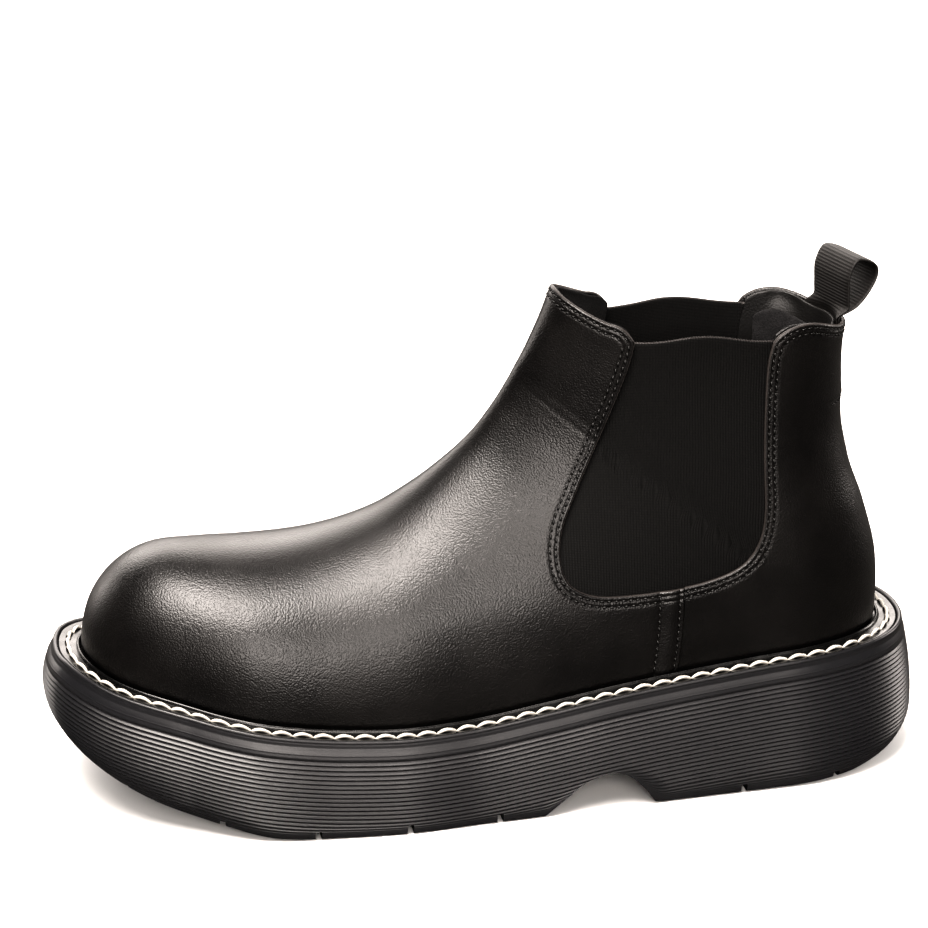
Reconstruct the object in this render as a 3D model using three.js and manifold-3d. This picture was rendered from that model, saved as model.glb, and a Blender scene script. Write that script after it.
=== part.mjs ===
// Left chelsea boot on a thick rounded rubber sole, modelled as the separate pieces it is made from.
// Millimetres. +Z is up, the toe points to -X, the heel to +X and the outer side of the foot is -Y.
// The origin lies on the ground under the centre of the sole.
import * as THREE from 'three';
import { mergeVertices } from 'three/addons/utils/BufferGeometryUtils.js';
import Module from 'manifold-3d';

const wasm = await Module();
wasm.setup();

// ---------------------------------------------------------------- driving dimensions
const bootLength = 314; // sole, toe to heel
const bootWidth = 121; // sole, at the ball of the foot
const bootHeight = 178; // ground to the highest edge of the collar, at the front of the leg

const leather = 1.8; // upper leather
const middleLayer = 1.2; // elastic, toe puff and heel counter, all between leather and lining
const lining = 1.0;
const fitGap = 0.3; // clearance between pieces that touch

const weltThickness = 2.8;
const weltShow = 8; // width of welt seen outside the upper
const weltUnder = 5; // width of welt hidden under the upper
const weltBeadWidth = 1.5;
const weltBeadHeight = 1.2;
const weltStitchPitch = 7.2;
const weltStitchInset = 3.3; // stitch line, from the welt's outer edge
const weltThread = 1.2; // diameter
const weltStitchBow = 0.7; // how far each stitch rises between its holes

const lipWidth = 1.5; // sole edge that stands round the welt, measured at its top
const sideBulge = 6; // how far the sole's wall swells past the welt's edge
const archHeight = 14;
const archFront = 9; // where the arch under the waist starts and ends along X
const archBack = 51.5;
const grooveWidth = 2.2;
const grooveDepth = 3.4;
const grooveCore = 16; // the grooves run in from each side and stop this far from the middle
const groovePitch = 32;
const grooveFirst = -133.5; // X of the groove nearest the toe
const foreGrooves = 5;
const heelGrooves = [84, 119];

const fillerThickness = 2.2;
const shankMiddle = 30; // X of its middle
const shankLength = 96;
const shankWidth = 15;
const shankThickness = 1.2;
const boardThickness = 2.2;
const footbedThickness = 4.5;

const goreHem = 7; // how far the elastic runs on under the leather
const goreTopDrop = 1; // elastic's top edge below the leather beside it
const seamX = 63.5; // side seam under the elastic
const stitchInset = 1.6; // first row from a cut edge
const rowSpacing = 2; // between the rows of a double row
const seamRowSpacing = 7; // between the two rows of the side seam
const seamLean = 1.2; // how far the side seam's rows lean to the toe at the sole
const thread = 0.8; // diameter of the upper's thread
const tackDrop = 26.5; // short seam across the back, below the collar
const tackReach = 11; // how far it starts ahead of the heel's back
const puffLength = 62; // toe puff, from the toe tip
const counterLength = 62; // heel counter, from the back of the heel
const counterHeight = 48;
const counterWing = 8; // its height at the front end
const middleDrop = 1; // the layers' top edges below the collar's edge
const liningDrop = 0.5;
const facingDepth = 16; // leather strip inside the collar
const patchDepth = 62; // suede patch behind the heel, below that strip
const patchReach = 41; // how far it comes forward from the heel's back
const patchOverlap = 4; // how far it laps up over the strip

const tabWidth = 23; // webbing of the pull tab
const tabThickness = 1.3;
const tabHeight = 22; // loop above the collar
const tabGap = 9; // widest opening in the loop
const tabTail = 24; // sewn length below the collar
const tabRise = 3; // gap between the collar and the loop's foot
const tabTwist = 16; // degrees, turn of the loop about the vertical
const tabSide = 3; // middle of the tab, off the middle plane towards the inner side of the foot

// ---------------------------------------------------------------- the drawn shape, scaled to the sizes above
const drawn = { length: 302.5, width: 108.6, height: 178 }; // of the welt line, and up to the collar
const scaleX = (bootLength - 2 * sideBulge) / drawn.length;
const scaleY = (bootWidth - 2 * sideBulge) / drawn.width;
const scaleZ = bootHeight / drawn.height;

// value at x of a smooth line through [x, value] pairs, with no overshoot between them
function table(pairs) {
  const xs = pairs.map((p) => p[0]);
  const ys = pairs.map((p) => p[1]);
  const slope = xs.slice(1).map((x, i) => (ys[i + 1] - ys[i]) / (x - xs[i]));
  const tangent = xs.map((_, i) => {
    if (i === 0) return slope[0];
    if (i === xs.length - 1) return slope[i - 1];
    return slope[i - 1] * slope[i] <= 0 ? 0 : (2 * slope[i - 1] * slope[i]) / (slope[i - 1] + slope[i]);
  });
  return (x) => {
    if (x <= xs[0]) return ys[0];
    if (x >= xs[xs.length - 1]) return ys[ys.length - 1];
    const i = xs.findIndex((v) => v > x) - 1;
    const h = xs[i + 1] - xs[i];
    const t = (x - xs[i]) / h;
    return (2 * t ** 3 - 3 * t ** 2 + 1) * ys[i] + (t ** 3 - 2 * t ** 2 + t) * h * tangent[i]
      + (3 * t ** 2 - 2 * t ** 3) * ys[i + 1] + (t ** 3 - t ** 2) * h * tangent[i + 1];
  };
}
const scaled = (pairs, kx, ky) => table(pairs.map(([x, y]) => [x * kx, y * ky]));
const lerp = THREE.MathUtils.lerp;
const clamp = THREE.MathUtils.clamp;
const smooth = (x, a, b) => THREE.MathUtils.smoothstep(x, a, b);
const rounded = (d, power) => (1 - (1 - clamp(d, 0, 1)) ** power) ** (1 / power); // superellipse, 0 at an edge to 1

// welt line: plan of the welt's outer edge, as half-widths before its round ends
const toeTip = -152.5 * scaleX;
const heelTip = 150 * scaleX;
const toeRound = 75 * scaleX;
const heelRound = 50 * scaleX;
const roundPower = 2.2;
const outerHalf = scaled([[-112, 51], [-70, 54.6], [-40, 54.8], [-10, 52], [25, 48.5], [60, 44.8], [95, 42], [118, 41]],
  scaleX, scaleY);
const innerHalf = scaled([[-112, 48.5], [-70, 53.8], [-40, 51.5], [-10, 45.5], [25, 40], [60, 37.8], [95, 38.5], [118, 39]],
  scaleX, scaleY);
const toeShift = scaled([[-150, 3], [-125, 2.2], [-90, 0]], scaleX, scaleY);

function halfPlan(x, inset, sign) {
  const half = (sign < 0 ? outerHalf(x) : innerHalf(x)) - inset;
  const toe = rounded((x - toeTip - inset) / (toeRound - inset), roundPower);
  const heel = rounded((heelTip - inset - x) / (heelRound - inset), roundPower);
  return toeShift(x) + sign * half * toe * heel;
}

// heights along the sole
const weltTop = scaled([[-150, 52.7], [-142, 50.3], [-134, 48], [-117, 44.5], [-97, 40], [-77, 36.6], [-57, 34.2], [-37, 33.2],
  [-18, 33.6], [13, 37], [35, 40], [57, 42.3], [77, 44.2], [99, 46.2], [118, 47.6], [134, 48.4], [150, 48.6]], scaleX, scaleZ);
const deck = (x) => weltTop(x) - weltThickness - fitGap;
const soleBottom = scaled([[-153, 20], [-146, 16], [-136, 12], [-120, 7], [-100, 3], [-76, 0], [122, 0], [136, 1.5], [150, 5]],
  scaleX, scaleZ);

// ---------------------------------------------------------------- solids
function toSolid(geometry) {
  const g = geometry.index ? geometry.clone() : geometry;
  g.deleteAttribute('normal');
  g.deleteAttribute('uv');
  const merged = mergeVertices(g, 1e-4);
  const index = merged.index.array;
  const kept = [];
  for (let i = 0; i < index.length; i += 3) {
    const [a, b, c] = [index[i], index[i + 1], index[i + 2]];
    if (a !== b && b !== c && a !== c) kept.push(a, b, c);
  }
  const positions = new Float32Array(merged.attributes.position.array);
  return new wasm.Manifold(new wasm.Mesh({ numProp: 3, vertProperties: positions, triVerts: new Uint32Array(kept) }));
}

function toGeometry(solid) {
  const mesh = solid.getMesh();
  const g = new THREE.BufferGeometry();
  g.setAttribute('position', new THREE.BufferAttribute(new Float32Array(mesh.vertProperties), 3));
  g.setIndex(new THREE.BufferAttribute(new Uint32Array(mesh.triVerts), 1));
  return g;
}

function fromTriangles(points, triangles) {
  const g = new THREE.BufferGeometry();
  g.setAttribute('position', new THREE.Float32BufferAttribute(points.flat(), 3));
  g.setIndex(triangles);
  return g;
}

// closed body through rings of equal length; the ends are closed round their middle points
function ringBody(rings) {
  const n = rings[0].length;
  const points = rings.flat();
  const triangles = [];
  for (let r = 0; r + 1 < rings.length; r++) {
    for (let k = 0; k < n; k++) {
      const a = r * n + k;
      const b = r * n + (k + 1) % n;
      triangles.push(a, b, b + n, a, b + n, a + n);
    }
  }
  const middle = (ring) => [0, 1, 2].map((axis) => ring.reduce((sum, p) => sum + p[axis], 0) / n);
  const first = points.push(middle(rings[0])) - 1;
  const last = points.push(middle(rings[rings.length - 1])) - 1;
  for (let k = 0; k < n; k++) {
    const next = (k + 1) % n;
    const base = (rings.length - 1) * n;
    triangles.push(first, next, k, last, base + k, base + next);
  }
  return outward(fromTriangles(points, triangles));
}

// turns a closed body's faces outward
function outward(g) {
  const p = g.attributes.position;
  const index = g.index.array;
  const [a, b, c] = [new THREE.Vector3(), new THREE.Vector3(), new THREE.Vector3()];
  let volume = 0;
  for (let i = 0; i < index.length; i += 3) {
    a.fromBufferAttribute(p, index[i]);
    b.fromBufferAttribute(p, index[i + 1]);
    c.fromBufferAttribute(p, index[i + 2]);
    volume += a.dot(b.cross(c));
  }
  if (volume < 0) {
    for (let i = 0; i < index.length; i += 3) [index[i], index[i + 1]] = [index[i + 1], index[i]];
  }
  return g;
}

// prism across the boot over a closed side view outline of [x, z] points
function sidePrism(outline, yFrom = -200, yTo = 200) {
  const shape = new THREE.Shape(outline.map(([x, z]) => new THREE.Vector2(x, z)));
  const g = new THREE.ExtrudeGeometry(shape, { depth: yTo - yFrom, bevelEnabled: false });
  g.rotateX(Math.PI / 2);
  g.translate(0, yTo, 0);
  return toSolid(g);
}

// ---------------------------------------------------------------- sole
const stations = 25; // along the length, on each side

function planRing(inset, height) {
  const ring = [];
  const at = (u, sign) => {
    const x = lerp(toeTip + inset, heelTip - inset, (1 - Math.cos(Math.PI * u)) / 2);
    const edge = lerp(toeTip, heelTip, (1 - Math.cos(Math.PI * u)) / 2);
    return [x, halfPlan(x, inset, sign), height(x, edge)];
  };
  for (let i = 0; i <= stations; i++) ring.push(at(i / stations, -1));
  for (let i = stations - 1; i > 0; i--) ring.push(at(i / stations, 1));
  return ring;
}

// faces across a ring, from each point on one side to its partner on the other
function ringCap(start) {
  const count = 2 * stations;
  const triangles = [];
  for (let i = 0; i < stations; i++) {
    const a = start + i;
    const b = start + i + 1;
    const c = start + ((count - i) % count);
    const d = start + count - i - 1;
    triangles.push(a, b, d, a, d, c);
  }
  return triangles;
}

function capped(rings) {
  const n = rings[0].length;
  const points = rings.flat();
  const triangles = [];
  for (let r = 0; r + 1 < rings.length; r++) {
    for (let k = 0; k < n; k++) {
      const a = r * n + k;
      const b = r * n + (k + 1) % n;
      triangles.push(a, b, b + n, a, b + n, a + n);
    }
  }
  const lower = ringCap((rings.length - 1) * n);
  const upper = ringCap(0);
  for (let i = 0; i < upper.length; i += 3) [upper[i], upper[i + 1]] = [upper[i + 1], upper[i]];
  return outward(fromTriangles(points, [...triangles, ...lower, ...upper]));
}

const soleTuck = scaled([[-153, 12], [-130, 7], [-100, 3], [-70, -2], [-42, -4.5], [-7, -3.5], [51, -3.5], [84, -3], [103, -1],
  [122, 2], [150, 4]], scaleX, 1);
const bulgeDepth = scaled([[-153, 0.4], [-110, 0.5], [100, 0.6], [150, 0.72]], scaleX, 1); // share of the wall's height
const cornerPower = scaled([[-153, 2], [-110, 2.2], [-70, 4], [100, 4], [130, 2.4], [150, 2]], scaleX, 1);

function wallInset(share, edge) {
  const widest = bulgeDepth(edge);
  if (share <= widest) {
    return -sideBulge + (sideBulge - fitGap - lipWidth) * (1 - share / widest) ** 2;
  }
  const down = (share - widest) / (1 - widest);
  const power = cornerPower(edge);
  const tuck = soleTuck(edge);
  return tuck - (sideBulge + tuck) * (1 - down ** power) ** (1 / power);
}

function outsoleBody() {
  const shares = [0, 0.06, 0.16, 0.3, 0.45, 0.6, 0.72, 0.84, 0.93, 0.98, 1];
  const rings = [planRing(-fitGap, (x) => deck(x)), planRing(-fitGap, (x) => weltTop(x))];
  for (const share of shares) {
    const ring = [];
    const at = (u, sign) => {
      const edge = lerp(toeTip, heelTip, (1 - Math.cos(Math.PI * u)) / 2);
      const inset = wallInset(share, edge);
      const x = lerp(toeTip + inset, heelTip - inset, (1 - Math.cos(Math.PI * u)) / 2);
      return [x, halfPlan(x, inset, sign), lerp(weltTop(edge), soleBottom(edge), share)];
    };
    for (let i = 0; i <= stations; i++) ring.push(at(i / stations, -1));
    for (let i = stations - 1; i > 0; i--) ring.push(at(i / stations, 1));
    rings.push(ring);
  }
  let sole = toSolid(capped(rings));
  sole = sole.subtract(sidePrism(archOutline()));
  const half = grooveWidth / 2;
  const grooves = [...Array(foreGrooves).keys()].map((i) => (grooveFirst + i * groovePitch) * scaleX);
  for (const x of [...grooves, ...heelGrooves.map((h) => h * scaleX)]) {
    const floor = soleBottom(x);
    const outline = [[x - half, -far], [x + half, -far], [x + half, floor + grooveDepth], [x - half, floor + grooveDepth]];
    sole = sole.subtract(sidePrism(outline, -far, -grooveCore)).subtract(sidePrism(outline, grooveCore, far));
  }
  return sole;
}

// the waist is lifted off the ground: a slow S on the toe side and a steeper fall to the heel breast
function archOutline() {
  const [a, b, h] = [archFront * scaleX, archBack * scaleX, archHeight * scaleZ];
  const curve = new THREE.SplineCurve([[-0.02, -0.2], [0.05, 0.05], [0.2, 0.42], [0.38, 0.82], [0.58, 1], [0.74, 0.9],
    [0.88, 0.52], [0.99, 0.05], [1.03, -0.2]].map(([u, v]) => new THREE.Vector2(lerp(a, b, u), v * h)));
  return curve.getPoints(20).map((p) => [p.x, p.y]);
}

// ---------------------------------------------------------------- flat pieces between sole and upper
function slab(inset, bottom, top) {
  return toSolid(capped([planRing(inset, top), planRing(inset, bottom)]));
}

function weltBody() {
  const underside = (x) => deck(x) + fitGap;
  const beadOuter = weltShow - fitGap - weltBeadWidth;
  let welt = slab(0, underside, weltTop);
  const sunk = 1; // the bead's foot inside the strip
  const clear = 3; // the opening's cutter past both faces
  const bead = slab(beadOuter, (x) => weltTop(x) - sunk, (x) => weltTop(x) + weltBeadHeight);
  welt = welt.add(bead.subtract(upperSolid(-fitGap)));
  return welt.subtract(slab(weltShow + weltUnder, (x) => deck(x) - clear, (x) => weltTop(x) + clear));
}

const fillerInset = weltShow + weltUnder + fitGap;

function shankBox(grow) {
  const [middleX, length] = [shankMiddle * scaleX, shankLength + 2 * grow];
  const half = shankWidth / 2 + grow;
  const outline = [];
  const steps = 8;
  const line = (x, lift) => deck(x) + fitGap + lift;
  for (let i = 0; i <= steps; i++) {
    const x = middleX - length / 2 + (length * i) / steps;
    outline.push([x, line(x, -grow)]);
  }
  for (let i = steps; i >= 0; i--) {
    const x = middleX - length / 2 + (length * i) / steps;
    outline.push([x, line(x, shankThickness + grow)]);
  }
  return sidePrism(outline, -half, half);
}

function fillerBody() {
  const body = slab(fillerInset, (x) => deck(x) + fitGap, (x) => deck(x) + fitGap + fillerThickness);
  return body.subtract(shankBox(fitGap));
}

// ---------------------------------------------------------------- upper surface
// It is drawn as slanted cross-sections: each runs from a point on the front line (toe, vamp, instep, front of the
// leg) to a point on the lower line (along the sole, round the heel and up the back), with a half-width between them.
const feather = (x) => weltTop(x) + fitGap;
const cutAllowance = 8; // the drawn surface goes on this far below the sole line before it is cut
const upperToe = toeTip + weltShow;
const toeTopRound = 34.5 * scaleX;
const ridge = 88.8 * scaleZ;
const toeEnd = -100 * scaleX; // upright sections as far as here
const toeSections = 6;
const legSections = 14;
const pointsPerSide = 9;

const onSole = null; // the lower point lies on the sole line
const slanted = [
  { front: [-100, 88.8], back: [-100, onSole], reach: 1, power: 2.2 },
  { front: [-78, 89], back: [-76, onSole], reach: 1, power: 2.15 },
  { front: [-60, 91.4], back: [-52, onSole], reach: 1, power: 2.1 },
  { front: [-42, 97.2], back: [-26, onSole], reach: 1, power: 2.05 },
  { front: [-28, 105.4], back: [4, onSole], reach: 1, power: 2 },
  { front: [-16, 114.5], back: [38, onSole], reach: 0.98, power: 1.95 },
  { front: [-6, 124], back: [76, onSole], reach: 0.9, power: 1.9 },
  { front: [2, 134.5], back: [112, onSole], reach: 0.78, power: 1.9 },
  { front: [7, 142.5], back: [134, onSole], reach: 0.68, power: 1.9 },
  { front: [10, 148], back: [142.3, 50], reach: 0.6, power: 1.95 },
  { front: [13, 153.5], back: [141.3, 72], reach: 0.55, power: 2 },
  { front: [16, 160], back: [136.5, 92], reach: 0.5, power: 2 },
  { front: [19, 167], back: [130, 110], reach: 0.47, power: 2 },
  { front: [21.5, 173.5], back: [126.8, 128], reach: 0.45, power: 2 },
  { front: [23.5, 179], back: [126.5, 146], reach: 0.45, power: 2 },
  { front: [26, 187], back: [128.5, 166], reach: 0.45, power: 2 },
];
const backLine = table([[40, 142], [60, 142], [72, 141.3], [92, 136.5], [110, 130], [128, 126.8], [146, 126.5], [168, 128.5]]
  .map(([z, x]) => [z * scaleZ, x * scaleX]));
const heelUpperRound = 42 * scaleX;
const legHalf = 26 * scaleY; // half-width of the leg at the collar
const legFrom = 66 * scaleZ; // the foot's width passes into the leg's between these heights
const legTo = 160 * scaleZ;

function catmull(values, s) {
  const last = values.length - 1;
  const i = clamp(Math.floor(s), 0, last - 1);
  const t = s - i;
  const [a, b, c, d] = [values[Math.max(i - 1, 0)], values[i], values[i + 1], values[Math.min(i + 2, last)]];
  return 0.5 * (2 * b + (c - a) * t + (2 * a - 5 * b + 4 * c - d) * t * t + (3 * b - a - 3 * c + d) * t ** 3);
}

function slantedSection(s) {
  const pick = (f) => catmull(slanted.map(f), s);
  const backX = pick((e) => e.back[0] * scaleX);
  const low = (e) => (e.back[1] === onSole ? feather(e.back[0] * scaleX) - cutAllowance : e.back[1] * scaleZ);
  return {
    front: [pick((e) => e.front[0] * scaleX), pick((e) => e.front[1] * scaleZ)],
    back: [backX, pick(low)],
    reach: pick((e) => e.reach),
    power: pick((e) => e.power),
  };
}

function toeSection(u) {
  const x = upperToe + (toeEnd - upperToe) * (1 - Math.cos((Math.PI / 2) * u));
  const floor = feather(x);
  const top = floor + (ridge - floor) * rounded((x - upperToe) / toeTopRound, roundPower);
  return { front: [x, top], back: [x, floor - cutAllowance], reach: 1, power: roundPower };
}

function halfWidth(x, z, sign) {
  const foot = (sign < 0 ? outerHalf(x) : innerHalf(x)) - weltShow;
  const half = lerp(foot, legHalf, smooth(z, legFrom, legTo));
  const toe = rounded((x - upperToe) / (toeRound - weltShow), roundPower);
  const heel = rounded((backLine(z) - x) / heelUpperRound, roundPower);
  return half * toe * heel;
}

function upperPoint(section, t, sign) {
  const x = lerp(section.front[0], section.back[0], t);
  const z = lerp(section.front[1], section.back[1], t);
  const floor = feather(section.back[0]);
  const toFloor = section.front[1] > floor + 0.01
    ? (section.front[1] - Math.max(floor, section.back[1])) / (section.front[1] - section.back[1]) : 0.01;
  const arched = rounded(t / Math.max(toFloor * section.reach, 0.01), section.power);
  return [x, toeShift(x) + sign * halfWidth(x, z, sign) * arched, z];
}

function upperRings() {
  const sections = [];
  for (let i = 0; i < toeSections; i++) sections.push(toeSection((i + 0.12) / (toeSections + 0.12)));
  for (let i = 0; i <= legSections; i++) sections.push(slantedSection(((slanted.length - 1) * i) / legSections));
  return sections.map((section) => {
    const ring = [];
    const share = (k) => (1 - Math.cos((Math.PI * k) / pointsPerSide)) / 2;
    for (let k = 0; k <= pointsPerSide; k++) ring.push(upperPoint(section, share(k), -1));
    for (let k = pointsPerSide; k > 0; k--) ring.push(upperPoint(section, share(k), 1));
    return ring;
  });
}

const skin = upperRings();

// the rings moved inward along the surface's normals
function offsetRings(rings, depth) {
  const n = rings[0].length;
  const [outerEnd, innerEnd] = [pointsPerSide, pointsPerSide + 1]; // the lower edge of each side
  const v = (p) => new THREE.Vector3(...p);
  return rings.map((ring, r) => ring.map((p, k) => {
    const before = rings[Math.max(r - 1, 0)][k];
    const after = rings[Math.min(r + 1, rings.length - 1)][k];
    const ends = k === outerEnd || k === innerEnd;
    const open = v(ring[outerEnd]).distanceTo(v(ring[innerEnd])) > 1; // on the sole line; else the sides meet at the back
    let next = ring[(k + 1) % n];
    let last = ring[(k - 1 + n) % n];
    if (ends && open) [last, next] = k === outerEnd ? [last, p] : [p, next];
    if (ends && !open) [last, next] = [ring[outerEnd - 1], ring[innerEnd + 1]];
    const along = v(after).sub(v(before));
    const round = v(next).sub(v(last));
    const normal = along.cross(round).normalize();
    if (r === 0) normal.set(-1, 0, 0);
    return v(p).addScaledVector(normal, r === 0 ? -depth : depth).toArray();
  }));
}

function inward(depth) {
  const trial = offsetRings(skin, 1);
  const widens = Math.abs(trial[toeSections + 2][4][1]) > Math.abs(skin[toeSections + 2][4][1]);
  return offsetRings(skin, widens ? -depth : depth);
}
const upperSolid = (depth) => toSolid(ringBody(inward(depth)));
const shell = (from, to) => upperSolid(from).subtract(upperSolid(to));

// how far out the upper's outside stands at a side view point, read from the rings
function skinY(x, z, sign) {
  const index = (k) => (sign < 0 || k === 0 ? k : 2 * pointsPerSide + 1 - k);
  for (let r = 0; r + 1 < skin.length; r++) {
    for (let k = 0; k < pointsPerSide; k++) {
      const quad = [skin[r][index(k)], skin[r][index(k + 1)], skin[r + 1][index(k + 1)], skin[r + 1][index(k)]];
      const halves = sign < 0 ? [[0, 1, 2], [0, 2, 3]] : [[0, 1, 3], [1, 2, 3]];
      for (const [a, b, c] of halves.map((half) => half.map((i) => quad[i]))) {
        const area = (b[0] - a[0]) * (c[2] - a[2]) - (c[0] - a[0]) * (b[2] - a[2]);
        if (Math.abs(area) < 1e-9) continue;
        const v = ((x - a[0]) * (c[2] - a[2]) - (c[0] - a[0]) * (z - a[2])) / area;
        const w = ((b[0] - a[0]) * (z - a[2]) - (x - a[0]) * (b[2] - a[2])) / area;
        if (v >= -1e-6 && w >= -1e-6 && v + w <= 1 + 1e-6) return a[1] + v * (b[1] - a[1]) + w * (c[1] - a[1]);
      }
    }
  }
  return null;
}

// ---------------------------------------------------------------- cut lines of the upper, in side view
const place = (points) => points.map(([x, z]) => new THREE.Vector2(x * scaleX, z * scaleZ));
const curve = (points, steps) => new THREE.SplineCurve(place(points)).getPoints(steps).map((p) => [p.x, p.y]);

const gorePath = curve([[47.2, 161], [44.4, 150], [36, 128], [27, 109], [21.5, 97], [20, 87], [22.5, 79], [30, 74.5], [41, 73.3],
  [58, 74], [74, 76.5], [85, 81], [91, 89], [93, 100], [92.8, 118], [93.3, 138], [94.2, 152], [96.1, 159.6]], 27);
const collarFront = curve([[14, 178.5], [20, 178], [24.5, 174.5], [31, 170.8], [37.7, 167.7], [41.2, 166.8], [44.4, 164.8],
  [47.2, 161]], 7);
const collarRear = curve([[96.1, 159.6], [98.2, 161.5], [101.7, 163.3], [105.6, 164.2], [110.5, 164.3], [116, 163],
  [121, 161.2], [126, 160], [140, 160]], 8);
const goreTop = [gorePath[0], gorePath[gorePath.length - 1]];
const collar = [...collarFront, ...collarRear];
const seam = seamX * scaleX;
const backMost = backLine(0);
const far = 400;

function collarHeight(x) {
  const beyond = collar.findIndex((p) => p[0] > x);
  const i = beyond < 0 ? collar.length - 1 : Math.max(beyond, 1);
  const [a, b] = [collar[i - 1], collar[i]];
  return lerp(a[1], b[1], clamp((x - a[0]) / (b[0] - a[0]), 0, 1));
}

// the U of the elastic grown outward by a margin, closed above the collar
function goreEdge(margin) {
  const v = (p) => new THREE.Vector2(...p);
  return gorePath.map((p, i) => {
    const along = v(gorePath[Math.min(i + 1, gorePath.length - 1)]).sub(v(gorePath[Math.max(i - 1, 0)])).normalize();
    return [p[0] + along.y * margin, p[1] - along.x * margin];
  });
}

function goreCut(margin, sign) {
  const edge = goreEdge(margin);
  const outline = [...edge, [edge[edge.length - 1][0], far], [edge[0][0], far]];
  return sidePrism(outline, sign < 0 ? -far : 0, sign < 0 ? 0 : far);
}
const goreCuts = (margin) => goreCut(margin, -1).add(goreCut(margin, 1));

// side view band that starts above the sole line and ends higher, or at the collar
function soleBand(lift, top) {
  const steps = 32;
  const past = 20; // beyond the boot's ends
  const xs = [...Array(steps + 1).keys()].map((i) => lerp(toeTip - past, heelTip + past, i / steps));
  const lower = xs.map((x) => [x, feather(x) + lift]);
  const upper = top === null
    ? [[heelTip + past, collar[collar.length - 1][1]], ...[...collar].reverse(), [toeTip - past, collar[0][1]]]
    : xs.map((x) => [x, feather(x) + top]).reverse();
  return sidePrism([...lower, ...upper]);
}

const ahead = (x) => sidePrism([[-far, -far], [x, -far], [x, far], [-far, far]]);
const behind = (x) => sidePrism([[x, -far], [far, -far], [far, far], [x, far]]);
// below or above the collar line lowered by a depth
const underCollar = (depth) => sidePrism([[-far, -far], [far, -far], [far, collarHeight(far) - depth],
  ...collar.map(([x, z]) => [x, z - depth]).reverse(), [-far, collarHeight(-far) - depth]]);

// ---------------------------------------------------------------- upper, in layers from the outside in
const middleFrom = leather + fitGap;
const liningFrom = middleFrom + middleLayer + fitGap;
const insideFrom = liningFrom + lining + fitGap;
const inBoot = soleBand(0, null);
const leatherShell = shell(0, leather).intersect(inBoot);
const middleShell = shell(middleFrom, middleFrom + middleLayer).intersect(inBoot).intersect(underCollar(middleDrop));
const liningShell = shell(liningFrom, liningFrom + lining).intersect(inBoot).intersect(underCollar(liningDrop));
const insideShell = shell(insideFrom, insideFrom + lining).intersect(inBoot);
const halfGap = fitGap / 2;

const vampBody = () => leatherShell.subtract(goreCuts(0)).intersect(ahead(seam - halfGap));
const quarterBody = () => leatherShell.subtract(goreCuts(0)).intersect(behind(seam + halfGap));

function goreBody(sign) {
  const panel = middleShell.intersect(goreCut(goreHem, sign));
  const [a, b] = goreTop.map(([x, z]) => [x, z - goreTopDrop]);
  return panel.subtract(sidePrism([[-far, a[1]], a, b, [far, b[1]], [far, far], [-far, far]]));
}

const liningCut = 2; // the linings' edge behind the leather's edge at the elastic
const vampLining = () => liningShell.subtract(goreCuts(liningCut)).intersect(ahead(seam - halfGap));
const rearLining = liningShell.subtract(goreCuts(liningCut)).intersect(behind(seam + halfGap));
const quarterLining = () => rearLining.intersect(underCollar(facingDepth + fitGap));
const collarFacing = () => rearLining.subtract(underCollar(facingDepth));
const patchStart = backMost - patchReach * scaleX;
const patchTop = facingDepth - patchOverlap;
const heelPatch = () => insideShell.intersect(behind(patchStart)).intersect(underCollar(patchTop))
  .subtract(underCollar(patchTop + patchDepth));

const puffEnd = upperToe + puffLength;
const toePuff = () => middleShell.intersect(ahead(puffEnd));
const counterStart = backMost - counterLength;
const counterTop = feather(heelTip) + counterHeight;
function heelCounter() {
  const along = (share) => lerp(counterStart, backMost, share);
  const lift = (share) => lerp(feather(heelTip), counterTop, share);
  const points = [[counterStart, -far], [counterStart, feather(counterStart) + counterWing], [along(0.35), lift(0.46)],
    [along(0.6), lift(0.87)], [backMost, counterTop]];
  const outline = new THREE.SplineCurve(points.map((p) => new THREE.Vector2(...p))).getPoints(16).map((p) => [p.x, p.y]);
  return middleShell.intersect(sidePrism([...outline, [far, counterTop], [far, -far]]))
    .subtract(goreCuts(goreHem + fitGap));
}

const insoleBoard = () => upperSolid(insideFrom).intersect(soleBand(0, boardThickness));
const footbedFrom = boardThickness + fitGap;
const footbed = () => upperSolid(insideFrom).intersect(soleBand(footbedFrom, footbedFrom + footbedThickness));

// ---------------------------------------------------------------- threads
function tube(points, diameter, sides = 4, steps = points.length - 1) {
  const path = new THREE.CatmullRomCurve3(points.map((p) => new THREE.Vector3(...p)));
  const circle = new THREE.Shape([...Array(sides).keys()].map((i) => {
    const angle = (2 * Math.PI * (i + 0.5)) / sides;
    return new THREE.Vector2(Math.cos(angle) * diameter / 2, Math.sin(angle) * diameter / 2);
  }));
  return toSolid(new THREE.ExtrudeGeometry(circle, { steps, extrudePath: path, bevelEnabled: false }));
}

const rowStandOff = fitGap + thread; // centre of a row above the leather
const slopeStep = 0.8; // distance over which the leather's slope is read
const rowEnd = 1.5; // a row stops this short of the row or the sole line it runs to
function onLeather([x, z], sign) {
  const y = skinY(x, z, sign);
  if (y === null) return null;
  const slope = (a, b) => (a === null || b === null ? 0 : (a - b) / (2 * slopeStep));
  const dx = slope(skinY(x + slopeStep, z, sign), skinY(x - slopeStep, z, sign));
  const dz = slope(skinY(x, z + slopeStep, sign), skinY(x, z - slopeStep, sign));
  const normal = new THREE.Vector3(-dx * sign, sign, -dz * sign).normalize();
  return [x + normal.x * rowStandOff, y + normal.y * rowStandOff, z + normal.z * rowStandOff];
}

// double row along a side view line: out along the first row and back along the second
function doubleRow(first, second, sign) {
  const path = [...first, ...[...second].reverse()].map((p) => onLeather(p, sign)).filter((p) => p !== null);
  return tube(path, thread);
}

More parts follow.
